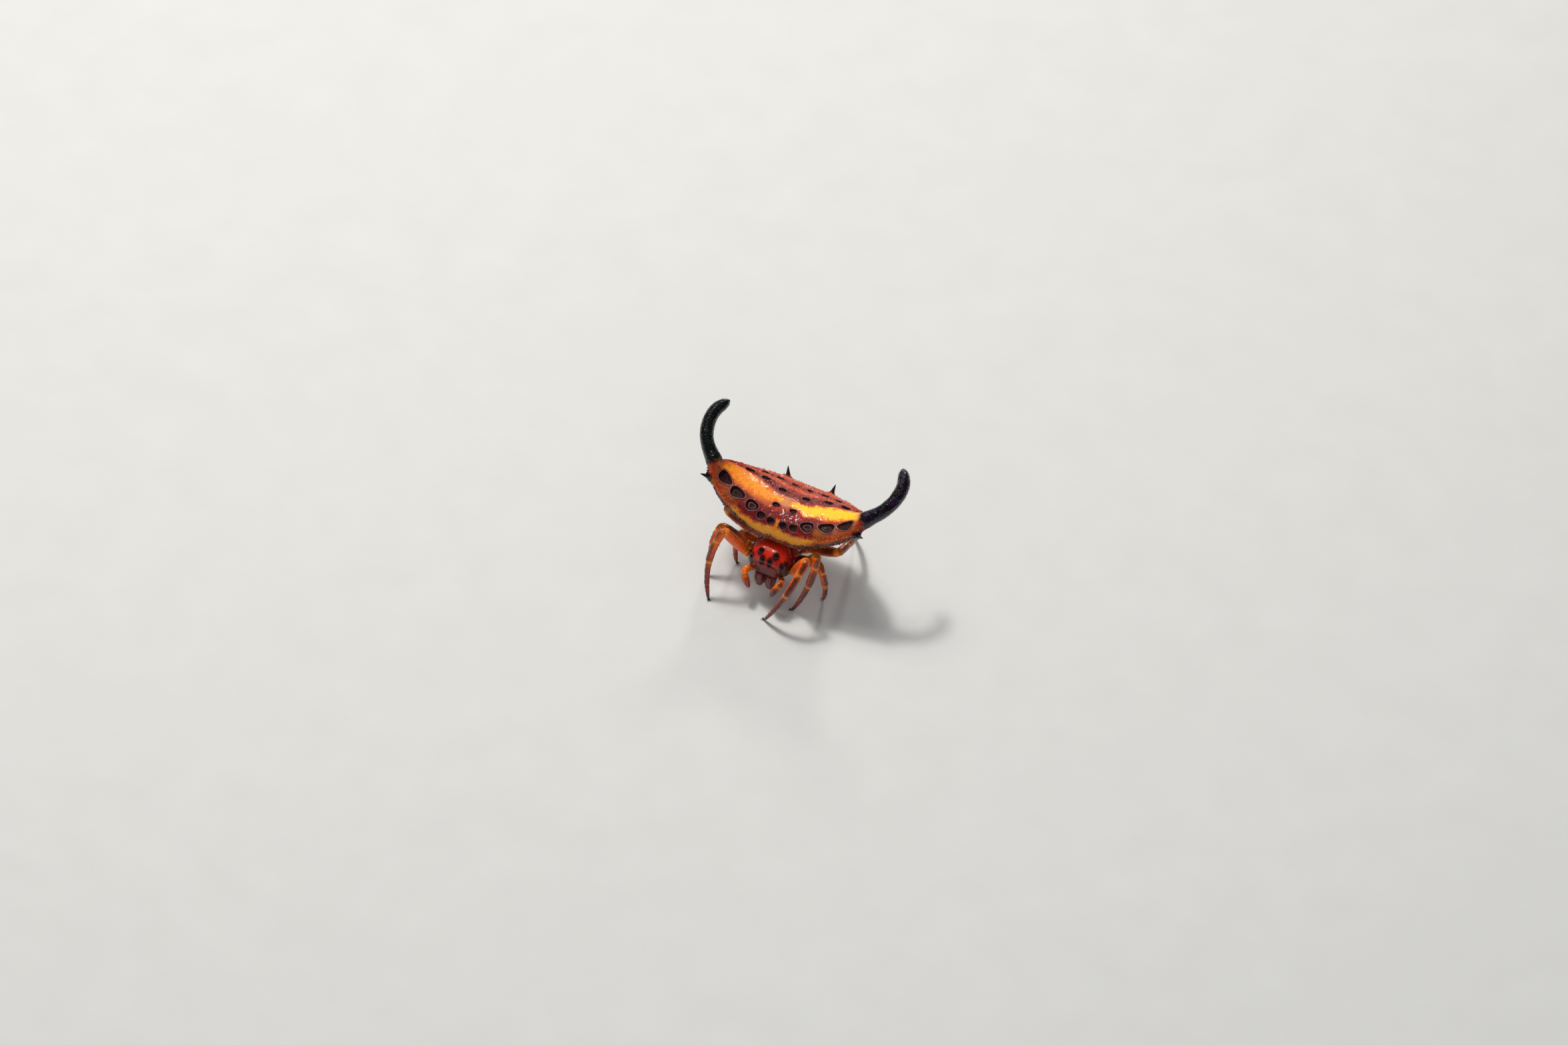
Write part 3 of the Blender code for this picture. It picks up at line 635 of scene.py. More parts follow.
inside = np.linalg.norm(from_axis[..., None, :] / belly_radii, axis=-1) <= 1
belly_z = np.where(inside.any(-1), belly_levels[inside.argmax(-1)], FAR_ABOVE)
bearing = np.arctan2(from_axis[..., 1] * BELLY_LONGER, from_axis[..., 0])
blended = -FILLET * np.logaddexp(-low_part[..., 2] / FILLET, -belly_z / FILLET)
blended = np.minimum(blended, low_part[..., 2])
pushed = soft_step(0, BELLY_SPREAD, low_part[..., 2] - blended)
shell_rings[:, UPPER_ROWS:, 2] = np.maximum(blended, BELLY_RINGS[0][0])
belly = np.zeros_like(lane)
belly[:, UPPER_ROWS:] = pushed
print("belly reaches down to", round(float(shell_rings[..., 2].min()), 2), "mm")

# %% Lay out the dots
# Each dot's place (x, y), half length, half width and turn in degrees
SIGILLA = (
    (4.83, -0.66, 0.62, 0.46, 25), (3.6, -1.18, 0.6, 0.42, 12), (2.22, -1.55, 0.5, 0.4, 8),
    (1.28, -1.88, 0.34, 0.28, 0), (0.5, -1.94, 0.31, 0.27, 0), (0.7, -0.73, 0.28, 0.22, 0),
    (0.97, 0.8, 0.32, 0.24, 0), (2.5, 1.3, 0.38, 0.24, -8), (3.85, 1.35, 0.42, 0.22, -22),
    (0.6, 2.12, 0.26, 0.22, 0), (1.8, 2.2, 0.32, 0.22, -8), (2.95, 2.05, 0.32, 0.2, -25),
)
CORNERS = 3
CORNERED = 0.16
CORNER_TURN = 0.6
NEAR_DOT = 1.6
# How strongly the big dots show an inner ring, by the dot's x
RINGED = {4.83: 0.0, 3.6: 0.2, 2.22: 0.9}
SLIGHTLY_RINGED = 0.25
FAR = 4.0
normals = outward(shell_rings)
dot = np.full(lane.shape, FAR)
ringed = np.zeros_like(lane)
on_top = np.arange(lane.shape[1]) < UPPER_ROWS
for x, y, half_length, half_width, turn in SIGILLA:
    for side in SIDES.values():
        gap = np.hypot(shell_rings[..., 0] - side * x, shell_rings[..., 1] - y) + np.where(on_top, 0, FAR)
        i, j = np.unravel_index(gap.argmin(), gap.shape)
        foot, up = shell_rings[i, j], normals[i, j]
        level = unit(np.array([1.0, 0, 0]) - up[0] * up)
        angle = math.radians(turn * side)
        major = math.cos(angle) * level + math.sin(angle) * np.cross(up, level)
        minor = np.cross(up, major)
        apart = shell_rings - foot
        u, v = (apart @ major) / half_length, (apart @ minor) / half_width
        ripple = np.cos(CORNERS * np.arctan2(v, u * side) + CORNER_TURN)
        distance = np.hypot(u, v) * (1 + CORNERED * half_length * ripple)
        distance = np.where((np.linalg.norm(apart, axis=-1) < NEAR_DOT) & on_top, distance, FAR)
        closer = distance < dot
        ringed = np.where(closer, RINGED.get(x, SLIGHTLY_RINGED), ringed)
        dot = np.minimum(dot, distance)
print("dots laid out:", 2 * len(SIGILLA))

# %% Press in the dots, raise the bands and roughen the rear
DOT_DEPTH = 0.15
LIP_HEIGHT = 0.035
INNER_PIT_DEPTH = 0.03
ROUGHNESS = 0.07
REAR_LUMPS = 0.16
REAR_GRAINS = 0.17
HORN_FADE = (0.82, 0.97)
LONG_LUMPS = np.array([0.3, 1.0, 1.0])
RELIEF = (
    (0, 0.0), (1, 0.0), (1.6, 0.04), (2.2, 0.0), (3, -0.03), (3.9, -0.02), (4.5, 0.06), (5, 0.03),
    (5.4, -0.03), (6, -0.06), (7, 0.01), (8, -0.05), (9, 0.03), (10, 0.0), (12, 0.0),
)
fade = 1 - soft_step(*HORN_FADE, np.abs(columns))[:, None]
near_dot = 1 - soft_step(1.3, 1.9, dot)
relief = read_table(RELIEF, lane) * fade * (1 - near_dot)
pit = -DOT_DEPTH * (1 - soft_step(0.66, 1.0, dot)) + LIP_HEIGHT * hump(dot, 1.1, 0.09)
inner_pit = INNER_PIT_DEPTH * (1 - soft_step(0, 0.4, dot))
pit += ringed * (LIP_HEIGHT * hump(dot, 0.52, 0.1) - inner_pit)
rough_rear = soft_step(5.2, 6, lane) * (1 - soft_step(9.8, 10.2, lane))
rough_rim = (1 - soft_step(0.8, 1.3, lane)) * soft_step(1.2, 2.0, np.abs(shell_rings[..., 0]))
off_dot = soft_step(0.9, 1.3, dot)
rough_part = np.clip(rough_rear + rough_rim * (1 - under), 0, 1) * off_dot * fade
small_lumps = lumps(shell_rings, 0.3) * 0.02 + lumps(shell_rings, 0.13) * 0.012
small_lumps += rough_rear * ROUGHNESS * lumps(shell_rings * LONG_LUMPS, REAR_LUMPS) * off_dot
cone_part = belly * (1 - soft_step(*FOLDS_FADE, shell_rings[..., 2]))
folds = FOLD_DEPTH * np.cos(FOLDS * np.pad(bearing, ((0, 0), (UPPER_ROWS, 0)))) * cone_part
moved_by = relief + pit + small_lumps * fade * soft_step(0.6, 1.1, dot) + folds
moved_by += rough_part * ROUGHNESS * (grains(shell_rings, REAR_GRAINS) - 0.5)
shell_rings += normals * moved_by[..., None]
print("deepest dot:", round(float(-moved_by.min()), 3), "mm")

# %% Raise a foot round each small spine
# Each pair's name, root, direction, length and the size of its foot
SMALL_SPINES = (
    ("spine_front", (5.72, -1.05, 7.3), (0.93, -0.3, 0.2), 0.62, 0.36),
    ("spine_rear", (1.7, 3.26, 5.12), (0.2, 0.3, 0.93), 0.84, 0.3),
)
FOOT_RISE = 1.15
FOOT_STARTS = (-0.35, -0.05)
spine_foot = np.zeros_like(lane)
for _, root, direction, _, foot_size in SMALL_SPINES:
    for side in SIDES.values():
        ahead = unit(np.array(direction) * (side, 1, 1))
        apart = shell_rings - np.array(root) * (side, 1, 1)
        along = apart @ ahead
        off_axis = np.linalg.norm(apart - along[..., None] * ahead, axis=-1)
        foot = hump(off_axis, 0, foot_size) * soft_step(*FOOT_STARTS, along)
        shell_rings += ahead * (FOOT_RISE * foot_size * foot)[..., None]
        spine_foot = np.maximum(spine_foot, foot)
print("feet raised:", 2 * len(SMALL_SPINES))

# %% [markdown]
# ## The shield's finish
#
# Under a clear hard surface the colours are thick and soft-edged: yellow bands, orange towards their
# edges, maroon between them and orange red along the rear. One ramp holds the colours of the middle of
# the shield and a second one those of its ends, where the yellow turns orange. Noise is added to the
# lane before it is read, which frays the edges. Specks, rows and dots are then laid over the ramps one
# by one, as a painter would glaze them. The floor of a dot is dark brown inside a pale lip, which is a
# painted highlight along the raised edge.

# %% Colours of the shield
YELLOW = (0.88, 0.38, 0.008)
# Partly painted light: the yellow of the lit +X half of the second band
BRIGHT_AND_LIT_YELLOW = (0.98, 0.52, 0.012)
BAND_YELLOW = (0.74, 0.31, 0.008)
DEEP_YELLOW = (0.7, 0.22, 0.006)
ORANGE = (0.66, 0.14, 0.006)
REAR_ORANGE = (0.64, 0.095, 0.006)
ORANGE_RED = (0.42, 0.045, 0.006)
BRIGHT_GLINT = (0.62, 0.012, 0.008)
RED = (0.31, 0.012, 0.005)
MAROON = (0.15, 0.004, 0.004)
DARK_RIM = (0.04, 0.006, 0.005)
DARK_MAROON = (0.06, 0.004, 0.006)
RUST = (0.3, 0.075, 0.008)
HOOD_BROWN = (0.12, 0.014, 0.007)
ROSE = (0.42, 0.12, 0.06)
DOT_FLOOR = (0.009, 0.0015, 0.002)
DOT_BROWN = (0.042, 0.005, 0.005)
# Painted highlight colour for the raised lips round the dots
LIP_HIGHLIGHT = (0.3, 0.12, 0.13)
UNDER_BROWN = (0.018, 0.008, 0.005)
BELLY_YELLOW = (0.45, 0.2, 0.012)
BLACK = (0.0035, 0.0035, 0.0045)
MIDDLE_COLOURS = (
    (0.0, DARK_RIM), (0.8, DARK_RIM), (0.98, RUST), (1.1, DEEP_YELLOW), (1.35, BAND_YELLOW),
    (1.75, BAND_YELLOW), (1.98, ORANGE), (2.12, RED), (2.3, MAROON), (3.6, MAROON), (3.85, RED),
    (4.06, ORANGE), (4.25, YELLOW), (4.7, YELLOW), (4.9, ORANGE), (5.08, RED), (5.35, MAROON),
    (6.3, MAROON), (6.65, RED), (6.85, ORANGE_RED), (7.1, REAR_ORANGE), (7.45, RED), (7.9, MAROON),
    (8.3, RED), (8.8, ORANGE_RED), (9.4, REAR_ORANGE), (9.9, ORANGE_RED), (10.15, DARK_RIM),
    (12.0, DARK_RIM),
)
END_COLOURS = (
    (0.0, DARK_RIM), (0.75, DARK_RIM), (1.1, RUST), (1.7, ORANGE), (2.2, RUST), (3.0, RUST), (3.7, RED),
    (4.0, ORANGE), (4.25, YELLOW), (4.75, DEEP_YELLOW), (5.1, ORANGE), (5.4, RED), (6.0, MAROON),
    (6.4, RED), (7.1, ORANGE_RED), (8.4, RED), (9.0, ORANGE_RED), (9.9, REAR_ORANGE), (10.2, DARK_RIM),
    (12.0, DARK_RIM),
)
print("colours along the lanes:", len(MIDDLE_COLOURS), "in the middle,", len(END_COLOURS), "at the ends")

# %% Reading the lanes in a finish
ALL_LANES = LAST_LANE + UNDER_LANES


def lane_ramp(colours):
    """The colours at places from 0 to 12, the last of the lanes."""
    return shell.ramp(frayed / ALL_LANES, [(place / ALL_LANES, colour) for place, colour in colours])


def lane_part(start, end, soft=0.3):
    """1 between two lanes and 0 elsewhere."""
    return shell.step(lanes, start - soft, start) * (1 - shell.step(lanes, end, end + soft))


# %% Start the shield's finish with the two ramps
shell = Finish("lacquered_shield", Coat_Roughness=0.09, IOR=1.38, Subsurface_Weight=0.1)
shell.set("Subsurface Scale", 0.2 * MM)
lanes, dots, beneath = shell.number("lane"), shell.number("dot"), shell.number("under")
ends, near_horn, inner_ring = shell.number("ends"), shell.number("near_horn"), shell.number("ringed")
sideways = shell.place_along("X")
frayed = lanes + shell.sway(0.5, 0.8) + shell.sway(0.1, 0.8)
wavering = ends + shell.sway(0.8, 0.2) + shell.step(sideways, -1.0, 1.0) * 0.1
shell.lay(shell.mix(lane_ramp(MIDDLE_COLOURS), lane_ramp(END_COLOURS), shell.step(wavering, 0.5, 0.64)))

# %% Stretches of the bands: the second band is deeper at -X and brighter at +X, partly painted shade and light
# Partly painted shade: the -X half of the second band is laid deeper orange
deeper_and_shaded = 1 - shell.step(sideways + shell.sway(0.9, 2.0), -1.4, 0.2)
shell.lay(ORANGE, deeper_and_shaded * lane_part(3.8, 5.2) * 0.55)
# Partly painted light: the +X half of the second band is laid brighter yellow
brighter_and_lit = shell.step(sideways + shell.sway(0.5, 1.2), 0.3, 1.1)
in_second_band = shell.step(frayed, 4.0, 4.25) * (1 - shell.step(frayed, 4.75, 5.0))
shell.lay(BRIGHT_AND_LIT_YELLOW, brighter_and_lit * in_second_band * 0.85)
middle = 1 - shell.step(abs(sideways + 0.1) + shell.sway(0.3, 0.7), 0.1, 0.6)
shell.lay(ROSE, middle * lane_part(4.1, 5.0) * 0.75)
branch = 1 - shell.step(abs(sideways) + shell.sway(0.15, 0.12), 0.1, 0.19)
shell.lay(DEEP_YELLOW, branch * lane_part(1.8, 3.1, 0.2) * 0.9)

# %% Nets, flecks and sparks
net = shell.step(shell.noise(0.09, 4.0), 0.46, 0.6)
shell.lay(DARK_MAROON, net * lane_part(0.0, 2.0, 0.8) * shell.step(ends, 0.4, 0.55) * 0.75)
reddened = shell.step(shell.noise(0.24, 3.0), 0.44, 0.6) * shell.step(ends, 0.5, 0.7)
shell.lay(RED, reddened * lane_part(0.8, 3.8, 0.3) * 0.8)
above_head = 1 - shell.step(abs(sideways) + shell.sway(0.3, 0.5), 1.4, 2.0)
shell.lay(HOOD_BROWN, above_head * lane_part(-1.0, 0.75, 0.2) * 0.9)
flecks = shell.step(shell.noise(0.12, 3.0), 0.52, 0.62)
shell.lay(RUST, flecks * lane_part(-1.0, 0.85, 0.3) * 0.9)
glints = shell.step(shell.noise(0.2, 3.0), 0.56, 0.68) * (1 - shell.step(ends, 0.2, 0.5))
shell.lay(BRIGHT_GLINT, glints * lane_part(2.5, 3.8) * 0.8)
streaks = shell.step(shell.noise(0.14, 3.0), 0.5, 0.64)
shell.lay(MAROON, streaks * lane_part(5.6, 9.6, 0.5) * 0.75)
sparks = shell.step(shell.noise(0.08, 3.0), 0.6, 0.7)
shell.lay(ORANGE, sparks * lane_part(5.6, 10.0, 0.5) * 0.6)

# %% Underside, dots, horn roots and the feet of the spines
spots = shell.step(shell.noise(0.45), 0.585, 0.63)
shell.lay(shell.mix(UNDER_BROWN, BELLY_YELLOW, spots), beneath)
halo = 1 - shell.step(dots + shell.sway(0.2, 0.2), 1.1, 1.35)
shell.lay(DARK_MAROON, halo * 0.7)
# Painted highlight: the raised lip round each dot is laid pale
lip = shell.step(dots, 0.99, 1.04) * (1 - shell.step(dots, 1.07, 1.14))
shell.lay(LIP_HIGHLIGHT, lip * (0.4 + shell.noise(0.3) * 0.5))
# Painted highlight: in ringed dots the raised inner ring is laid pale as well
inner_lip_highlight = shell.step(dots, 0.44, 0.5) * (1 - shell.step(dots, 0.54, 0.62)) * inner_ring
dot_floor = shell.mix(DOT_FLOOR, DOT_BROWN, shell.step(shell.noise(0.16, 3.0), 0.4, 0.7))
in_dot = 1 - shell.step(dots, 0.9, 1.0)
shell.lay(shell.mix(dot_floor, LIP_HIGHLIGHT, inner_lip_highlight * 0.6), in_dot)
shell.lay(RED, shell.step(near_horn + shell.sway(0.3, 0.8), -0.9, -0.4) * 0.7)
shell.lay(BLACK, shell.step(near_horn + shell.sway(0.16, 0.9, 3.0), -0.5, -0.15))
at_spine = shell.number("spine_foot")
shell.lay(MAROON, shell.step(at_spine + shell.sway(0.15, 0.3), 0.24, 0.38) * 0.9)
shell.lay(BLACK, shell.step(at_spine + shell.sway(0.12, 0.2), 0.4, 0.54))

# %% [markdown]
# ## Gloss and grain of the shield
#
# The shell is polished, but not evenly. The yellow bands are satin, the floors of the dots and the
# underside are dull, and the dark middle looks hammered, which breaks the light into small glints. A
# clear coat over a rougher base gives both, and only its weight changes from place to place. The grain
# is too fine to model, so it is a bump.

# %% Gloss and grain
satin = lane_part(1.1, 1.9) * (1 - shell.step(ends, 0.55, 0.7)) + lane_part(4.1, 4.9)
rear_part = lane_part(5.4, 9.8) * (1 - in_dot)
shell.set("Coat Weight", 0.5 - beneath * 0.42 - in_dot * 0.48 - satin * 0.25 - rear_part * 0.22)
shell.set("Roughness", 0.28 + shell.noise(0.25) * 0.2 + beneath * 0.3 + in_dot * 0.3 + satin * 0.12)
hammered = shell.noise(0.06, 3.0) * 1.2 * lane_part(2.3, 3.9)
grain = shell.cells(0.1) * 0.6 + shell.noise(0.05, 3.0) * 0.5 + hammered
shell.raise_by(grain * (1 - satin * 0.7) * (1 - in_dot * 0.6), 0.032)
print("finish of the shield:", len(shell.tree.nodes), "nodes")

# %% Carry the horn's grain onto the shield and make it
HORN_GRAIN = 0.13
GRAIN_HEIGHT = 0.04
GRAIN_FROM = (-0.5, 0.1)


def horn_grain(rings):
    """The height of the horn's grains and of the low swellings under them."""
    return GRAIN_HEIGHT * (grains(rings, HORN_GRAIN) - 0.6) + 0.02 * lumps(rings, 0.6)


ends_number = np.broadcast_to(np.abs(columns)[:, None], lane.shape)
mirror = np.where(columns < 0, -1, 1)[:, None]
unfolded = np.stack([np.abs(shell_rings[..., 0]), shell_rings[..., 1], shell_rings[..., 2]], -1)
near_horn_number = (unfolded - horn_start) @ horn_heading
root_grain = horn_grain(shell_rings) * soft_step(*GRAIN_FROM, near_horn_number)
shell_rings += outward(shell_rings) * root_grain[..., None]
over_head = 1 - soft_step(1.3, 2.2, np.abs(shell_rings[..., 0]))
rim_coat = np.clip(hump(lane, 0.3, 0.55) * (1 - over_head) + hump(lane, 9.9, 0.45), 0, 1) * (1 - under)
middle_rear = hump(np.abs(columns), 0, 0.28)[:, None] * soft_step(4.9, 5.8, lane)
seta_coat = np.clip(0.15 + 0.85 * middle_rear, 0, 1)
seta_coat = seta_coat * (1 - soft_step(10, 10.2, lane)) * soft_step(1.1, 1.3, dot) * on_top
rear_lie = unit(np.stack([0.15 * mirror + 0 * lane, 1.0 + 0 * lane, 0 * lane], -1))
shell_numbers = {
    "lane": lane, "dot": dot, "under": under, "ends": ends_number, "near_horn": near_horn_number,
    "ringed": ringed, "rim_coat": rim_coat, "seta_coat": seta_coat, "spine_foot": spine_foot,
}
shell_skin = ring_skin("shield", shell_rings, shell_numbers, lie=rear_lie)
wear(shell_skin, shell.material)
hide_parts("abdomen")
print("shield:", len(shell_skin.data.polygons), "faces")

# %% [markdown]
# ## The horns
#
# Each horn is a tapering tube that sweeps out, back and up like a sickle. It is jet black, grained
# like leather, with a faint painted sheen, green on the right horn and purple on the left, and a
# trace of dark red at its root. The grains are real displacement, because they break the outline
# against the light, and the shield's end carries the same ones, so no seam shows between the two skins.

# %% Finish of the horns
# Colours of the painted sheen, a reflection laid into the black of the horns and spines
GREEN_SHEEN = (0.002, 0.007, 0.006)
PURPLE_SHEEN = (0.016, 0.004, 0.024)


def black_finish(name, roughness, grain, height):
    """Black shell with a painted sheen, green on the right of the animal and purple on its left."""
    made = Finish(name, Coat_Weight=0.9, Coat_Roughness=0.07, IOR=1.25)
    # Painted reflection: patches of green sheen on the right and purple on the left
    sheen = made.mix(GREEN_SHEEN, PURPLE_SHEEN, made.step(made.place_along("X"), -1.0, 1.0))
    made.lay(made.mix(BLACK, sheen, made.step(made.noise(0.35), 0.42, 0.62)))
    at_root = 1 - made.step(made.number("from_root") + made.sway(0.14, 0.5, 3.0), -0.25, 0.0)
    made.lay(MAROON, at_root * 0.6)
    made.set("Roughness", roughness + made.noise(0.2) * 0.2)
    made.raise_by(made.noise(grain, 3.0) * 0.5 - made.cells(grain * 2.0), height)
    return made.material


horn_black = black_finish("grained_horn", 0.3, 0.05, 0.006)
spine_black = black_finish("smooth_spine", 0.16, 0.12, 0.006)
print("black finishes:", horn_black.name, "and", spine_black.name)

# %% Sweep the horns
HORN_RINGS = 300
HORN_SIDES = 96
HORN_BURIED = 0.02
TIP_FADE = (0.02, 0.2)
horn_skins = {}
for side_name, side in SIDES.items():
    t = np.linspace(0, 1, HORN_RINGS)
    line = even_steps(spline(HORN_PATH, t), HORN_RINGS)
    line = np.vstack([horn_start - horn_heading * HORN_BURIED, line]) * (side, 1, 1)
    radii = np.concatenate([[HORN_RADII[0][1]], read_curve(HORN_RADII, t)[:, 0]])
    middle = line[len(line) // 2]
    along = trace(line) - HORN_BURIED
    rings = tube_rings(line, radii, np.cross(line[-1] - middle, middle - line[0]), HORN_SIDES)
    grainy = soft_step(*GRAIN_FROM, along)[:, None] * soft_step(*TIP_FADE, radii)[:, None]
    rings = rings + outward(rings) * (horn_grain(rings) * grainy)[..., None]
    numbers = {"from_root": along[:, None], "coat": soft_step(0.05, 0.5, along)[:, None]}
    heading = unit(np.gradient(line, axis=0))[:, None]
    horn = ring_skin(f"horn_skin_{side_name}", rings, numbers, lie=heading)
    wear(horn, horn_black)
    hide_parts(f"horn_{side_name}")
    horn_skins[side_name] = horn
print("horn length:", round(float(along[-1]), 2), "mm, faces each:", len(horn.data.polygons))

# %% [markdown]
# ## Small spines
#
# Two short spines stand at the front corners of the shield and two at its rear edge. Each is a glossy
# black thorn with a flared foot, and it leans outwards. A spine is a short tube whose radius falls
# quickly at first and slowly after, which is what gives a thorn its hollow flanks.

# %% Make the small spines
SPINE_PROFILE = (
    (-0.12, 0.26), (0.0, 0.28), (0.12, 0.25), (0.3, 0.195), (0.6, 0.12), (0.85, 0.062), (1.0, 0.016),
)
SPINE_SUNK = 0.25
SPINE_BEND = 0.06
SPINE_RINGS = 60
SPINE_SIDES = 40
for name, root, direction, length, _ in SMALL_SPINES:
    for side_name, side in SIDES.items():
        ahead = unit(np.array(direction) * (side, 1, 1))
        share = np.linspace(SPINE_PROFILE[0][0], 1, SPINE_RINGS)
        above_root = np.clip(share, 0, 1)[:, None]
        reach = ((length + SPINE_SUNK) * share)[:, None]
        bend = np.array([0, 0, 1.0]) * SPINE_BEND * above_root**2
        line = np.array(root) * (side, 1, 1) + ahead * reach + bend
        rings = tube_rings(line, read_table(SPINE_PROFILE, share), np.cross(ahead, (0, 0, 1)), SPINE_SIDES)
        raised = 0.012 * lumps(rings, 0.16) * (1 - above_root)
        rings = rings + outward(rings) * raised[..., None]
        spine = ring_skin(f"{name}_skin_{side_name}", rings, {"from_root": reach + 0.05})
        wear(spine, spine_black)
        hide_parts(f"{name}_{side_name}")
print("small spines:", 2 * len(SMALL_SPINES))

# %% [markdown]
# ## The carapace
#
# The front body is a smooth crimson box with a high steep head. The head is marked off by a shallow
# groove that runs from the flanks to a dimple in the middle, and the eyes stand on low mounds. Rings
# across the body, squarer than a circle, give the box, and the mounds and the groove are pressed in.

# %% Carapace shape
CARAPACE = (
    (-3.52, 1.0, 3.5), (-3.4, 1.26, 3.78), (-3.1, 1.52, 4.14), (-2.6, 1.64, 4.36), (-1.9, 1.76, 4.36),
    (-1.2, 1.8, 4.08), (-0.6, 1.5, 3.68), (-0.25, 1.0, 3.4),
)
CARAPACE_FLOOR = 2.72
CARAPACE_BOWL = 0.3
CARAPACE_WAIST = 0.45
CARAPACE_SQUARENESS = 2.7
# Each pair's name, place (x, y) and radius
EYES = (
    ("eye_median_rear", 0.58, -3.02, 0.22),
    ("eye_median_front", 0.3, -3.42, 0.19),
    ("eye_side_rear", 1.38, -3.02, 0.16),
    ("eye_side_front", 1.2, -3.3, 0.16),
)
CARAPACE_ROUND = 0.16
GROOVE_DEPTH = 0.07
GROOVE_WIDTH = 0.14
DIMPLE_DEPTH = 0.1
DIMPLE_Y = -0.95
MOUND_HEIGHT = 0.05
MOUND_WIDTH = 1.7
CARAPACE_RINGS = 150
CARAPACE_POINTS = 180
first_y, last_y = CARAPACE[0][0], CARAPACE[-1][0]
y = np.linspace(first_y, last_y, CARAPACE_RINGS)
stations = np.column_stack([y, read_curve(CARAPACE, y)])
cap = np.linspace(0, np.pi / 2, 14)[1:]
front_cap = np.column_stack([first_y - CARAPACE_ROUND * np.sin(cap), np.cos(cap)])[::-1]
rear_cap = np.column_stack([last_y + CARAPACE_ROUND * np.sin(cap), np.cos(cap)])
across, rise = squared_circle(round_turns(CARAPACE_POINTS), CARAPACE_SQUARENESS)


def carapace_ring(at, half_width, top, size=1.0):
    """One ring: an arch over a level and a shallow bowl under it, drawn in to a share of its size."""
    height = np.where(rise > 0, (top - CARAPACE_FLOOR) * rise, CARAPACE_BOWL * rise)
    middle = CARAPACE_FLOOR + (top - CARAPACE_FLOOR) * CARAPACE_WAIST
    z = middle + (CARAPACE_FLOOR + height - middle) * size
    return np.stack([half_width * across * size, np.full(CARAPACE_POINTS, at), z], -1)


rings = [carapace_ring(at, *stations[0, 1:], size) for at, size in front_cap]
rings += [carapace_ring(*row) for row in stations]
rings += [carapace_ring(at, *stations[-1, 1:], size) for at, size in rear_cap]
carapace_rings = np.array(rings)
print("carapace rings:", carapace_rings.shape[:2])

# %% Press in the groove and raise the mounds of the eyes
normals = outward(carapace_rings)
x, y, z = np.moveaxis(carapace_rings, -1, 0)
on_head = z > CARAPACE_FLOOR + 0.3
above = soft_step(CARAPACE_FLOOR + 0.1, CARAPACE_FLOOR + 0.5, z)
groove_line = DIMPLE_Y - 0.75 * np.abs(x) ** 1.2
groove = -GROOVE_DEPTH * hump(y, groove_line, GROOVE_WIDTH) * above
dimple = -DIMPLE_DEPTH * hump(np.hypot(x / 0.14, (y - DIMPLE_Y) / 0.28), 0, 1) * above
moved_by = groove + dimple + 0.015 * lumps(carapace_rings, 0.5) + 0.006 * lumps(carapace_rings, 0.15)
eye_rim = np.zeros_like(x)
for _, eye_x, eye_y, radius in EYES:
    for side in SIDES.values():
        apart = np.hypot(x - side * eye_x, y - eye_y)
        moved_by += MOUND_HEIGHT * np.exp(-((apart / (radius * MOUND_WIDTH)) ** 4)) * on_head
        eye_rim = np.maximum(eye_rim, (1 - soft_step(radius * 0.95, radius * 1.45, apart)) * on_head)
carapace_rings = carapace_rings + normals * moved_by[..., None]
print("highest mound:", round(float(moved_by.max()), 3), "mm")

# %% Carapace finish and piece
CRIMSON = (0.4, 0.01, 0.005)
DARK_CRIMSON = (0.09, 0.004, 0.004)
# Painted highlight colour for the most lit places of the carapace
LIT_RED = (0.6, 0.022, 0.006)
crimson = Finish("polished_carapace", Coat_Weight=0.35, Coat_Roughness=0.09, IOR=1.42, Subsurface_Weight=0.1)
crimson.set("Subsurface Scale", 0.25 * MM)
# Painted light and shade: the lit number, with clouds of noise, makes the carapace crimson high up and dark
# low down and at the rear
cloudy = crimson.number("lit") + crimson.sway(0.7, 0.8, 3.0)
crimson.lay(crimson.mix(DARK_CRIMSON, CRIMSON, crimson.step(cloudy, 0.05, 0.5)))
crimson.lay(LIT_RED, crimson.step(cloudy + crimson.sway(0.2, 0.5), 0.75, 1.1) * 0.8)
crimson.lay(DARK_CRIMSON, crimson.number("groove"))
crimson.lay(BLACK, crimson.number("eye_rim") * 0.85)
crimson.set("Roughness", 0.16 + crimson.noise(0.2) * 0.22)
crimson.raise_by(crimson.noise(0.09, 3.0) + crimson.cells(0.1) * 0.3, 0.02)
# Painted light and shade: lit is 1 high on the head and 0 low down, and smaller at the rear under the shield
lit = soft_step(CARAPACE_FLOOR + 0.2, CARAPACE_FLOOR + 1.5, z) * (1 - 0.6 * soft_step(-2.0, -0.6, y))
numbers = {
    "groove": np.clip(-groove / GROOVE_DEPTH, 0, 1) * 0.8, "eye_rim": eye_rim, "lit": lit,
    "coat": above * (1 - soft_step(-1.4, -0.6, y)) * (1 - eye_rim),
}
carapace_skin = ring_skin("carapace_skin", carapace_rings, numbers, lie=(0.0, -0.8, -0.6))
wear(carapace_skin, crimson.material)
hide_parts("carapace")
print("carapace:", len(carapace_skin.data.polygons), "faces")

# %% [markdown]
# ## Eyes
#
# A spider's eye is a single fixed lens, a wet black bead set into its mound. Eight small spheres with
# a smooth surface and a hard clear coat do it: two rows of two in the middle and a close pair at each
# side. Each takes its place and size from the table of eyes and sits sunk into the carapace.

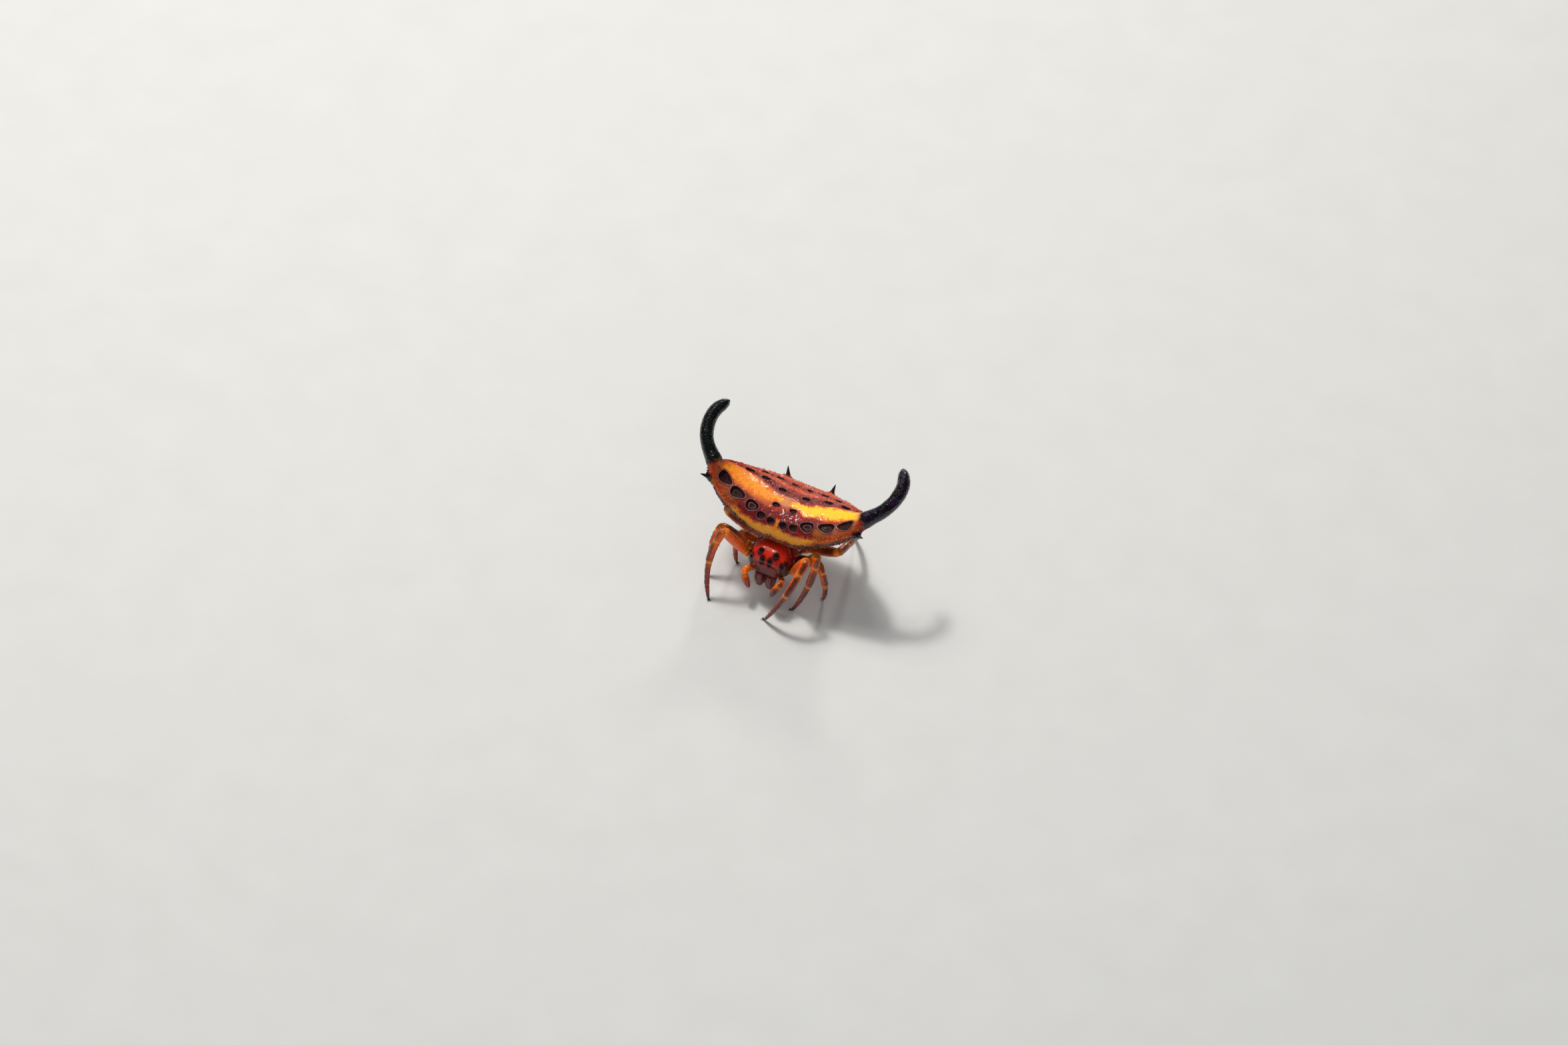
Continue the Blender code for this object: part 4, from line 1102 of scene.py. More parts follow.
# %% Set the eyes
EYE_STEPS = 40
EYE_SUNK = 0.3
POLE_GAP = 0.02
EYE_BLACK = (0.004, 0.003, 0.004)
EYE_BROWN = (0.02, 0.008, 0.006)
eye_gloss = Finish("wet_eye", Roughness=0.06, Coat_Weight=0.15, Coat_Roughness=0.02, IOR=1.35)
eye_gloss.lay(eye_gloss.mix(EYE_BLACK, EYE_BROWN, eye_gloss.noise(0.2)))
for name, eye_x, eye_y, radius in EYES:
    for side_name, side in SIDES.items():
        node = f"{name}_{side_name}"
        nearest = np.hypot(x - side * eye_x, y - eye_y) + np.where(on_head, 0, FAR)
        at = np.unravel_index(nearest.argmin(), nearest.shape)
        centre = carapace_rings[at] - normals[at] * radius * EYE_SUNK
        polar = np.linspace(POLE_GAP, np.pi - POLE_GAP, EYE_STEPS)
        line = centre + np.stack([0 * polar, 0 * polar, radius * np.cos(polar)], -1)
        rings = tube_rings(line, radius * np.sin(polar), (1.0, 0, 0), EYE_STEPS)
        eye = ring_skin(f"{name}_lens_{side_name}", rings)
        wear(eye, eye_gloss.material)
        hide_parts(node)
print("eyes:", 2 * len(EYES))

# %% [markdown]
# ## Legs
#
# A leg is one continuous skin over its four solids, so that no gap shows. A middle line runs from the
# root of the leg through hip and knee to the floor. Round it, the radius follows the solids, pinched
# at each joint and swollen just before it, as the real leg's segments are. The sideways direction is
# that of the plane the leg bends in, so the back of the leg stays its back all the way down, and the
# dark hairy stripe can follow it.

# %% Where the legs stand, as in the solids
COXA_ROOTS = ((0.42, -2.15, 2.2), (0.66, -1.5, 2.2), (0.66, -0.95, 2.2), (0.42, -0.4, 2.2))
COXA_ENDS = ((1.85, -2.62, 2.85), (2.1, -1.85, 2.8), (2.0, -1.1, 2.75), (1.8, 0.0, 2.7))
SWUNG_HIPS = {("4", "right"): (2.25, -0.3, 2.5)}
LEG_POSES = {
    ("1", "left"): ((3.12, -3.3, 5.2), (2.9, -5.9, 3.4), (1.05, -5.5)),
    ("1", "right"): ((3.46, -3.38, 5.05), (4.49, -4.68, 2.87), (3.36, -5.66)),
    ("2", "left"): ((3.5, -2.3, 4.95), (3.7, -3.4, 2.7), (2.35, -3.7)),
    ("2", "right"): ((4.3, -1.9, 3.7), (4.9, -2.7, 2.9), (4.42, -3.67)),
    ("3", "left"): ((3.4, -1.6, 3.35), (4.5, -2.2, 1.9), (3.85, -1.7)),
    ("3", "right"): ((3.05, -1.2, 3.0), (3.7, -1.4, 1.6), (3.2, -1.5)),
    ("4", "left"): ((4.2, -0.2, 3.77), (4.6, 3.0, 3.3), (3.1, 4.8)),
    ("4", "right"): ((4.7, -0.3, 3.65), (5.9, 2.4, 3.1), (4.6, 4.5)),
}
LOWER_SHARES = (0.2, 0.32, 0.3, 0.18)
TIBIA_END = LOWER_SHARES[0] + LOWER_SHARES[1]
COXA = ((0.0, 0.22), (0.45, 0.29), (0.8, 0.3), (1.0, 0.27))
FEMUR = ((0.0, 0.28), (0.12, 0.31), (0.4, 0.37), (0.75, 0.38), (1.0, 0.3))
LOWER_LEG = (
    (0.0, 0.3), (0.07, 0.31), (0.2, 0.28), (0.3, 0.3), (0.46, 0.31), (0.52, 0.26), (0.6, 0.26),
    (0.82, 0.24), (0.93, 0.2), (0.98, 0.16), (1.0, 0.12),
)
TROCHANTER = 0.14
SHORT_PAIR, SHORT_LEG = "3", 0.9
# Where the leg's segments end, counted as 1 for the hip, 2 for the knee and up to 3 for the floor
JOINTS = (1.0, 1 + TROCHANTER, 2.0, 2 + LOWER_SHARES[0], 2 + TIBIA_END, 2 + TIBIA_END + LOWER_SHARES[2])
print("legs:", len(LEG_POSES), "joints on each:", len(JOINTS))

# %% The middle line of a leg
def leg_line(pair, side_name, fine_steps=80):
    """The leg's middle line with, at each point, its radius and its count along the leg."""
    mirror = (SIDES[side_name], 1, 1)
    knee, towards, (foot_x, foot_y) = LEG_POSES[(pair, side_name)]
    number = int(pair) - 1
    hip = SWUNG_HIPS.get((pair, side_name), COXA_ENDS[number])
    root, hip, knee, towards, floor = (
        np.array(p) * mirror for p in (COXA_ROOTS[number], hip, knee, towards, (foot_x, foot_y, 0.0))
    )
    t = np.linspace(0, 1, fine_steps)[:, None]
    lower = (1 - t) ** 2 * knee + 2 * t * (1 - t) * towards + t**2 * floor
    line = np.vstack([root + (hip - root) * t[:-1], hip + (knee - hip) * t[:-1], lower])
    count = np.concatenate([t[:-1, 0], 1 + t[:-1, 0], 2 + t[:, 0]])
    radius = np.where(count < 1, read_table(COXA, count), read_table(FEMUR, count - 1))
    radius = np.where(count < 2, radius, read_table(LOWER_LEG, count - 2))
    scale = SHORT_LEG if pair == SHORT_PAIR else 1.0
    return line, radius * scale, count, np.cross(knee - hip, floor - hip)


def smoothed(values, passes):
    """Each value drawn towards its neighbours, with the ends held."""
    for _ in range(passes):
        values[1:-1] = (values[:-2] + 2 * values[1:-1] + values[2:]) / 4
    return values


# %% Finish of the legs
LEG_ORANGE = (0.78, 0.1, 0.003)
JOINT_YELLOW = (0.9, 0.27, 0.008)
LEG_RED = (0.28, 0.013, 0.004)
LEG_DARK = (0.024, 0.005, 0.004)
# Colours from the root of a leg, at 0, to its foot, at 1
LEG_COLOURS = (
    (0.0, ORANGE_RED), (0.3, LEG_ORANGE), (0.72, LEG_ORANGE), (0.82, ORANGE_RED), (0.9, LEG_RED),
    (0.96, LEG_RED), (0.99, LEG_DARK),
)
legs = Finish("banded_leg", Coat_Weight=0.45, Coat_Roughness=0.12, IOR=1.48, Subsurface_Weight=0.3)
legs.set("Subsurface Scale", 0.25 * MM)
count, back, joint = legs.number("count"), legs.number("back"), legs.number("joint")
legs.lay(legs.ramp((count + legs.sway(0.3, 0.12)) / 3, LEG_COLOURS))
legs.lay(JOINT_YELLOW, joint * (1 - legs.step(count, 2.55, 2.8)) * 0.8)
streak = legs.step(back + legs.sway(0.12, 1.0, 3.0), 0.45, 0.95) * legs.step(count, 1.2, 1.7)
legs.lay(LEG_DARK, streak * (1 - joint * 0.8) * 0.85)
flecks = legs.step(legs.noise(0.07, 3.0), 0.6, 0.72)
legs.lay(LEG_DARK, flecks * legs.step(count, 1.1, 1.6) * 0.5)
legs.lay(DARK_CRIMSON, legs.number("crease") * 0.6)
legs.set("Roughness", 0.22 + legs.noise(0.15) * 0.25)
legs.raise_by(legs.noise(0.05, 3.0) - legs.cells(0.07) * 0.4, 0.014)
print("finish of the legs:", len(legs.tree.nodes), "nodes")

# %% Sweep the legs
def clear(rings, height):
    """0 close to the floor and 1 above the height, so that no hair pokes into the floor."""
    return soft_step(height, height + 0.3, rings[..., 2])


LEG_RINGS = 260
LEG_SIDES = 40
SMOOTH_LINE, SMOOTH_RADIUS = 14, 6
PINCH = 0.1
SWELL = 0.045
SLIMMER = (
    (0.0, 1.0), (1.9, 1.0), (2.2, 0.97), (2.45, 0.86), (2.6, 0.8), (2.8, 0.72), (2.95, 0.62), (3.0, 0.55),
)
leg_skins = []
for pair, side_name in LEG_POSES:
    line, radius, count, plane = leg_line(pair, side_name)
    packed = even_steps(np.column_stack([line, radius, count]), LEG_RINGS)
    line, radius = smoothed(packed[:, :3].copy(), SMOOTH_LINE), smoothed(packed[:, 3].copy(), SMOOTH_RADIUS)
    count = packed[:, 4]
    lengths = trace(line)
    pinch, joint, crease = (np.zeros(LEG_RINGS) for _ in range(3))
    for place in JOINTS:
        at = np.interp(place, count, lengths)
        pinch += SWELL * hump(lengths, at - 0.2, 0.12) + SWELL * hump(lengths, at + 0.14, 0.1)
        pinch -= PINCH * hump(lengths, at, 0.045)
        joint = np.maximum(joint, hump(lengths, at - 0.08, 0.17))
        crease = np.maximum(crease, hump(lengths, at + 0.01, 0.022))
    sideways = plane * np.sign(np.cross(line[LEG_RINGS // 3] - line[0], plane)[2])
    radius = radius * read_table(SLIMMER, count)
    rings = tube_rings(line, radius * (1 + pinch), sideways, LEG_SIDES)
    rings = roughened(rings, (0.016, 0.22), (0.008, 0.08))
    rings[..., 2] = np.maximum(rings[..., 2], 0.0)
    heading = unit(np.gradient(line, axis=0))[:, None]
    back = np.cos(round_turns(LEG_SIDES))[None]
    on_back, below = np.clip(back + 0.3, 0, 1), np.clip(-back, 0, 1)
    numbers = {
        "count": count[:, None], "back": back, "joint": joint[:, None], "crease": crease[:, None],
        "coat": soft_step(0.8, 1.6, count)[:, None] * (0.35 + 0.65 * on_back) * clear(rings, 0.1),
        "long_coat": soft_step(1.3, 2.0, count)[:, None] * (0.2 + 0.8 * below) * clear(rings, 0.4),
    }
    skin = ring_skin(f"leg_skin_{pair}_{side_name}", rings, numbers, lie=heading)
    wear(skin, legs.material)
    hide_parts(*(f"leg_{pair}_{side_name}_{part}" for part in ("coxa", "femur", "tibia", "foot")))
    leg_skins.append(skin)
print("legs:", len(leg_skins), "faces each:", len(skin.data.polygons))

# %% [markdown]
# ## Jaws, palps and mouthparts
#
# Under the face hang two stout jaws, each with a folded black fang, and in front of them two short
# palps, like small legs with a swollen last segment. Behind the jaws lie the lip and its two side
# plates. They are dark maroon, darker than the carapace, and polished.

# %% Finishes of jaws and fangs
JAW_RED = (0.12, 0.008, 0.005)
jaw_gloss = Finish("polished_jaw", Coat_Weight=0.6, Coat_Roughness=0.08, IOR=1.5)
cloudy = jaw_gloss.mix(DARK_CRIMSON, JAW_RED, jaw_gloss.step(jaw_gloss.noise(0.25), 0.4, 0.6))
jaw_gloss.lay(jaw_gloss.mix(LEG_DARK, cloudy, jaw_gloss.step(jaw_gloss.place_along("Z"), 1.1, 1.7)))
jaw_gloss.set("Roughness", 0.2 + jaw_gloss.noise(0.15) * 0.2)
jaw_gloss.raise_by(jaw_gloss.noise(0.06, 3.0), 0.012)
fang_gloss = Finish("black_fang", Coat_Weight=0.8, Coat_Roughness=0.05)
fang_gloss.lay(fang_gloss.mix(BLACK, RED, fang_gloss.step(fang_gloss.noise(0.1), 0.55, 0.9) * 0.4))
fang_gloss.set("Roughness", 0.12 + fang_gloss.noise(0.1) * 0.1)
print("finishes of the jaws:", jaw_gloss.material.name, "and", fang_gloss.material.name)

# %% Make the jaws and fangs
CHELICERA_TOP = (0.47, -3.14, 2.45)
CHELICERA_TIP = (0.38, -3.4, 1.1)
CHELICERA = (
    (-0.2, 0.3), (0.0, 0.38), (0.2, 0.43), (0.5, 0.41), (0.75, 0.33), (0.92, 0.22), (1.0, 0.13),
)
CHELICERA_SWELL = 0.18
FANG_LENGTH = 0.62
FANG_ARCH = 0.14
FANG_RADIUS = 0.09
FANG_TIP = 0.008
jaws = []
for side_name, side in SIDES.items():
    top, tip = (np.array(p) * (side, 1, 1) for p in (CHELICERA_TOP, CHELICERA_TIP))
    share = np.linspace(CHELICERA[0][0], 1, 70)
    ahead = np.array([0, -CHELICERA_SWELL, 0]) * np.sin(np.pi * np.clip(share, 0, 1))[:, None]
    line = top + (tip - top) * share[:, None] + ahead
    rings = roughened(tube_rings(line, read_table(CHELICERA, share), (1, 0, 0), 48), (0.01, 0.3))
    coat = hump(share, 0.75, 0.3)[:, None]
    jaw = ring_skin(f"jaw_{side_name}", rings, {"coat": coat}, lie=(0, -0.3, -1.0))
    wear(jaw, jaw_gloss.material)
    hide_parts(f"chelicera_{side_name}")
    jaws.append(jaw)
    t = np.linspace(0, 1, 30)[:, None]
    inwards = np.array([-side * 0.55, 0.0, 0.0]) * np.sin(t * 1.4)
    folded = (inwards + (0, 0.4, 0) * t) * FANG_LENGTH
    arch = np.array([0, 0, FANG_ARCH]) * np.sin(np.pi * t)
    line = tip + (0.02 * side, 0.02, 0.05) + folded + arch
    radii = FANG_RADIUS * (1 - t[:, 0]) ** 0.7 + FANG_TIP
    fang = ring_skin(f"fang_{side_name}", tube_rings(line, radii, (0, 0, 1), 16))
    wear(fang, fang_gloss.material)
print("jaws and fangs:", 2 * len(jaws))

# %% Palps
PALP_JOINTS = (
    (1.1, -3.1, 2.2), (1.36, -3.45, 2.3), (1.4, -3.95, 2.4), (1.12, -4.25, 1.9), (0.9, -4.2, 1.25),
)
PALP_RADII = ((0.0, 0.2), (0.25, 0.25), (0.5, 0.25), (0.75, 0.26), (0.94, 0.17), (1.0, 0.08))
PALP_BREAKS = (0.2, 0.42, 0.6)
PALP_PINCH = 0.16
PALP_SWELL = 0.05
PALP_RINGS = 120
PALP_SIDES = 32
BURIED_STEPS = 6
palps = []
for side_name, side in SIDES.items():
    share = np.linspace(0, 1, PALP_RINGS)
    line = spline(PALP_JOINTS, share) * (side, 1, 1)
    line[0] += (line[0] - line[1]) * BURIED_STEPS
    radius = read_table(PALP_RADII, share)
    joint, crease = np.zeros(PALP_RINGS), np.zeros(PALP_RINGS)
    for place in PALP_BREAKS:
        pinch, swell = PALP_PINCH * hump(share, place, 0.018), PALP_SWELL * hump(share, place - 0.06, 0.04)
        radius = radius * (1 - pinch + swell)
        joint = np.maximum(joint, hump(share, place - 0.02, 0.05))
        crease = np.maximum(crease, hump(share, place, 0.015))
    plane = np.cross(line[PALP_RINGS // 2] - line[0], line[-1] - line[PALP_RINGS // 2])
    rings = tube_rings(line, radius, plane * np.sign(plane[0] * side), PALP_SIDES)
    numbers = {
        "count": 1.6 + 1.2 * share[:, None], "back": np.cos(round_turns(PALP_SIDES))[None],
        "joint": joint[:, None], "crease": crease[:, None],
        "coat": soft_step(0.1, 0.6, share)[:, None], "long_coat": soft_step(0.4, 0.8, share)[:, None],
    }
    heading = unit(np.gradient(line, axis=0))[:, None]
    palp = ring_skin(f"palp_skin_{side_name}", rings, numbers, lie=heading)
    wear(palp, legs.material)
    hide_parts(f"palp_{side_name}")
    palps.append(palp)
print("palps:", len(palps))

# %% [markdown]
# ## The underside: waist, sternum, lip and spinnerets
#
# Seen from below, a shield shaped plate lies between the leg roots, with the lip and its side plates
# before it. A narrow waist joins the two halves of the body. The spinnerets are a tight group of short
# cones on a ring, at the tip of the belly. These are dark brown with yellow flecks, and half matt.

# %% Finish of the underside
brown = Finish("brown_underside", Coat_Weight=0.2, Coat_Roughness=0.3, IOR=1.45)
spots = brown.step(brown.noise(0.35), 0.55, 0.64) * 0.7
brown.lay(brown.mix(UNDER_BROWN, BELLY_YELLOW, spots))
brown.set("Roughness", 0.35 + brown.noise(0.15) * 0.25)
brown.raise_by(brown.noise(0.06, 3.0) - brown.cells(0.1) * 0.4, 0.02)
print("finish of the underside:", len(brown.tree.nodes), "nodes")

# %% Sternum, lip and side plates
PLATE_RINGS = 50
PLATE_POINTS = 80
PLATE_POLE = 0.03


def dome_plate(name, centre, half, thickness, squareness=2.4, taper=0.0):
    """A rounded plate, domed below, whose rear end is drawn in by taper."""
    polar = np.linspace(PLATE_POLE, np.pi - PLATE_POLE, PLATE_RINGS)[:, None]
    round_x, round_y = squared_circle(round_turns(PLATE_POINTS), squareness)
    size = np.sin(polar) ** 0.5
    x = half[0] * size * round_x * (1 - taper * round_y * size)
    y = half[1] * size * round_y
    z = thickness / 2 * np.cos(polar) * np.ones_like(x)
    return ring_skin(name, roughened(np.stack([x, y, z], -1) + centre, (0.012, 0.2)))


STERNUM_CENTRE = (0.0, -1.25, 2.22)
STERNUM_HALF = (0.54, 0.97)
sternum = dome_plate("sternum_plate", STERNUM_CENTRE, STERNUM_HALF, 0.58, taper=0.22)
wear(sternum, brown.material)
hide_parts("sternum")
lip = dome_plate("lip", MOUTH_CENTRE, (0.3, 0.2), 0.5, 2.0, taper=0.3)
wear(lip, brown.material)
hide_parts("mouthparts")
for side_name, side in SIDES.items():
    place = (side * 0.48, MOUTH_CENTRE[1] - 0.06, MOUTH_CENTRE[2])
    side_plate = dome_plate(f"side_plate_{side_name}", place, (0.22, 0.36), 0.52, 2.2, taper=-0.25)
    wear(side_plate, brown.material)
print("plates made, the sternum", round(2 * STERNUM_HALF[1], 2), "mm long")

# %% Waist
WAIST_FROM, WAIST_TO = -0.62, 0.73
WAIST_HEIGHT = 3.1
WAIST_RADIUS = 0.42
WAIST_RINGS = 60
share = np.linspace(0, 1, WAIST_RINGS)
arch = WAIST_HEIGHT + 0.06 * np.sin(np.pi * share)
line = np.stack([0 * share, WAIST_FROM + (WAIST_TO - WAIST_FROM) * share, arch], -1)
radii = WAIST_RADIUS * (1 + 0.05 * np.cos(share * 22))
# Painted shade: a low lit number and a groove number darken the whole waist, which lies under the shield
waist = ring_skin("waist", tube_rings(line, radii, (1, 0, 0), 48), {"groove": 0.3, "lit": 0.2})
wear(waist, crimson.material)
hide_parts("pedicel")
print("waist:", round(WAIST_TO - WAIST_FROM, 2), "mm long")

# %% Spinnerets
SPINNERET_BASE_TOP = BELLY_RINGS[0][0] + 0.05
# Each pair's place beside and behind the middle of the ring, radius and length
SPINNERET_CONES = ((0.2, -0.2, 0.2, 0.5), (0.17, 0.2, 0.17, 0.42), (0.07, 0.02, 0.09, 0.34))
CONE_PROFILE = ((0, 1), (0.5, 0.86), (0.56, 0.78), (0.9, 0.52), (1, 0.3))
BASE_PROFILE = ((0.0, 0.6), (0.1, 0.6), (0.2, 0.56), (0.28, 0.54), (0.36, 0.5), (0.42, 0.44))
centre = np.array([*BELLY_AT, SPINNERET_BASE_TOP])
depth = np.linspace(0, BASE_PROFILE[-1][0], 40)
radii = read_table(BASE_PROFILE, depth) * (1 + 0.025 * np.cos(depth * 60))
line = centre - np.stack([0 * depth, 0 * depth, depth], -1)
base_ring = ring_skin("spinneret_ring", tube_rings(line, radii, (1, 0, 0), 64))
wear(base_ring, brown.material)
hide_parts("spinnerets")
share = np.linspace(0, 1, 40)
for number, (cone_x, cone_y, radius, length) in enumerate(SPINNERET_CONES):
    for side_name, side in SIDES.items():
        start = centre + (side * cone_x, cone_y, -0.3)
        lean = unit(np.array([side * 0.05, cone_y * 0.3, -1.0]))
        line = start + lean * (length * share)[:, None]
        rings = tube_rings(line, radius * read_table(CONE_PROFILE, share), (1, 0, 0), 32)
        cone = ring_skin(f"spinneret_{number}_{side_name}", rings)
        wear(cone, brown.material)
print("spinneret cones:", 2 * len(SPINNERET_CONES), "pieces so far:", len(made_pieces))

# %% [markdown]
# ## Claws
#
# Each leg ends in a pair of hooked black claws with a small third one between them. They are far too
# small to see from a step away, yet without them a foot looks cut off. One loop bends three short
# tapered tubes for each foot, and joins them to one piece a foot.

# %% Claws at the feet
CLAW_LENGTH = 0.2
CLAW_RADIUS = 0.03
CLAW_TIP = 0.004
SMALL_CLAW = 0.6
CLAW_TURNS = (-0.5, 0.5, 0.0)
for pair, side_name in LEG_POSES:
    line, *_ = leg_line(pair, side_name)
    foot, arriving = line[-1], unit((line[-1] - line[-12]) * (1, 1, 0))
    hooks = []
    for number, turn in enumerate(CLAW_TURNS):
        cos, sin = math.cos(turn), math.sin(turn)
        ahead = np.array([cos * arriving[0] - sin * arriving[1], sin * arriving[0] + cos * arriving[1], 0])
        t = np.linspace(0, 1, 14)[:, None]
        size = CLAW_LENGTH * (SMALL_CLAW if turn == 0 else 1.0)
        hook = foot + (0, 0, 0.1) + ahead * (0.06 + size * np.sin(t * 1.5) * 0.9) + (0, 0, -0.07) * t**2
        rings = tube_rings(hook, CLAW_RADIUS * (1 - t[:, 0]) ** 0.6 + CLAW_TIP, (0, 0, 1), 10)
        hooks.append(ring_skin(f"claw_{pair}_{side_name}_{number}", rings))
    with bpy.context.temp_override(active_object=hooks[0], selected_editable_objects=hooks):
        bpy.ops.object.join()
    hooks[0].name = f"claws_{pair}_{side_name}"
    wear(hooks[0], fang_gloss.material)
print("claws at", len(LEG_POSES), "feet")

# %% [markdown]
# ## Bristles by Geometry Nodes
#
# Hair on a spider is a coat of short stiff bristles, thousands of them, each a tiny bent thorn. One
# Geometry Nodes tree strews roots over a skin where a number says the coat grows, turns a three sided
# thorn from the outward direction towards the lie of the coat, and varies its size. The same tree makes
# fuzz, bristles and the teeth of the rim, with other sizes. Each bristle's patch of the OFBake map is
# at its root's place on the skin's own map, so a baked coat keeps the right colours.

# %% Start the bristle tree
BRISTLE_INPUTS = (
    ("Geometry", "NodeSocketGeometry"), ("Where", "NodeSocketString"), ("Density", "NodeSocketFloat"),
    ("Length", "NodeSocketFloat"), ("Slimness", "NodeSocketFloat"), ("Lean", "NodeSocketFloat"),
    ("Bend", "NodeSocketFloat"), ("Jitter", "NodeSocketFloat"), ("Seed", "NodeSocketInt"),
    ("Finish", "NodeSocketMaterial"),
)
bristles = bpy.data.node_groups.new("bristles", "GeometryNodeTree")
for name, kind in BRISTLE_INPUTS:
    bristles.interface.new_socket(name, in_out="INPUT", socket_type=kind)
bristles.interface.new_socket("Geometry", in_out="OUTPUT", socket_type="NodeSocketGeometry")
tree = Tree(bristles)
given = tree.node("NodeGroupInput")


def read(name, kind="FLOAT_VECTOR"):
    """What the points keep under a name."""
    return tree.node("GeometryNodeInputNamedAttribute", {"data_type": kind}, {"Name": name})


def keep(geometry, name, value, kind="FLOAT_VECTOR", domain="POINT"):
    """Keeps a value on the points, or on the corners of the faces, under a name."""
    settings = {"data_type": kind, "domain": domain}
    inputs = {"Geometry": geometry, "Name": name, "Value": value}
    return tree.node("GeometryNodeStoreNamedAttribute", settings, inputs)


def chance(low, high, seed, kind="FLOAT"):
    """A seeded random value for each point."""
    inputs = {"Min": low, "Max": high, "Seed": seed}
    return tree.node("FunctionNodeRandomValue", {"data_type": kind}, inputs)


def vector(x, y, z):
    """Three numbers as one vector."""
    return tree.node("ShaderNodeCombineXYZ", None, {0: x, 1: y, 2: z})


print("inputs of the tree:", len(BRISTLE_INPUTS))

# %% Strew the roots
density = given.other("Density") * read(given.other("Where"), "FLOAT")
roots = tree.node(
    "GeometryNodeDistributePointsOnFaces", {"distribute_method": "RANDOM"},
    {"Mesh": given, "Density": density, "Seed": given.other("Seed")},
)
normal = roots.other("Normal")
roots = keep(roots, "root_map", read("OFBake"))
roots = keep(roots, "tone", chance(0.0, 1.0, 11), "FLOAT")

# %% Turn each bristle from the outward direction towards the lie of the coat
lie, lean, jitter = read("lie"), given.other("Lean"), given.other("Jitter")
stray = chance((-1, -1, -1), (1, 1, 1), 5, "FLOAT_VECTOR")
upright = normal * vector(1 - lean, 1 - lean, 1 - lean)
heading = upright + lie * vector(lean, lean, lean) + stray * vector(jitter, jitter, jitter)
turned = tree.node("FunctionNodeAlignRotationToVector", {"axis": "Z"}, {"Vector": heading})
turned = tree.node(
    "FunctionNodeAlignRotationToVector", {"axis": "X", "pivot_axis": "Z"},
    {"Rotation": turned, "Vector": lie},
)

# %% Shape the thorn and set one on every root
PATCH = 0.003
THORN_SUNK = 0.12
LEAST_SIZE = 0.5
THORN_SIDES = 3
thorn = tree.node(
    "GeometryNodeMeshCone", {"fill_type": "TRIANGLE_FAN"},
    {"Vertices": THORN_SIDES, "Side Segments": THORN_SIDES, "Depth": 1.0, "Radius Top": 0.0,
     "Radius Bottom": given.other("Slimness")}, "Mesh",
)
place = tree.node("GeometryNodeInputPosition")
height = tree.node("ShaderNodeSeparateXYZ", None, {0: place}, "Z")
thorn = keep(thorn, "own_map", vector(0.5, height, 0.0) + place)
bent = vector(given.other("Bend") * height * height, 0.0, -THORN_SUNK)
thorn = tree.node("GeometryNodeSetPosition", None, {"Geometry": thorn, "Offset": bent})
size = chance(LEAST_SIZE, 1.0, 7) * given.other("Length")
grown = tree.node(
    "GeometryNodeInstanceOnPoints", None,
    {"Points": roots, "Instance": thorn, "Rotation": turned, "Scale": size},
)
coat = tree.node("GeometryNodeRealizeInstances", None, {"Geometry": grown})
coat = keep(coat, "OFBake", read("root_map") + read("own_map") * PATCH, "FLOAT2", "CORNER")
coat = tree.node("GeometryNodeSetMaterial", None, {"Geometry": coat, "Material": given.other("Finish")})
bristles.links.new(coat.socket, bristles.nodes.new("NodeGroupOutput").inputs[0])
print("bristle tree:", len(bristles.nodes), "nodes")

# %% Growing one coat
SHAPE_NAMES = ("Density", "Length", "Slimness", "Lean", "Bend", "Jitter")
coat_faces = []


def grow(name, skin, finish, where, shape, seed):
    """Grows one coat of a shape on a skin, as thick as the number of that name says; the seed strews it."""
    given = dict(zip(SHAPE_NAMES, shape), Where=where, Seed=seed, Finish=finish)
    given["Density"] /= MM**2
    given["Length"] *= MM
    modifier = skin.modifiers.new("coat", "NODES")
    modifier.node_group = bristles
    for item in bristles.interface.items_tree:
        if item.in_out == "INPUT" and item.name in given:
            modifier[item.identifier] = given[item.name]
    graph = bpy.context.evaluated_depsgraph_get()
    mesh = bpy.data.meshes.new_from_object(skin.evaluated_get(graph))
    skin.modifiers.remove(modifier)
    mesh.name = name
    coat = bpy.data.objects.new(name, mesh)
    bpy.context.scene.collection.objects.link(coat)
    wear(coat, finish)
    coat_faces.append(len(mesh.polygons))


# %% [markdown]
# ## Finishes of the bristles
#
# Fuzz on the horns is colourless and catches the light, so it reads as a pale halo over black. The
# bristles of the legs are dark with a few pale ones among them. Each bristle has a random number named
# tone from the tree, and the finish mixes two colours by it. The teeth of the rim are part of the
# shell, so they wear the shell's own finish.

# %% Bristle finishes
def bristle_finish(name, dark, pale, from_tone, to_tone, roughness):
    """Dark bristles, of which those with a high tone are pale."""
    made = Finish(name, IOR=1.5)
    made.lay(made.mix(dark, pale, made.step(made.number("tone"), from_tone, to_tone)))
    made.set("Roughness", roughness + made.noise(0.1) * 0.1)
    return made.material


fuzz = bristle_finish("pale_fuzz", (0.006, 0.006, 0.007), (0.5, 0.48, 0.4), 0.7, 0.95, 0.3)
dark_bristle = bristle_finish("dark_bristle", (0.012, 0.006, 0.004), (0.45, 0.3, 0.18), 0.62, 0.85, 0.3)
warm_bristle = bristle_finish("warm_bristle", (0.5, 0.07, 0.008), (0.75, 0.55, 0.4), 0.8, 0.95, 0.28)
print("bristle finishes:", fuzz.name, dark_bristle.name, warm_bristle.name)

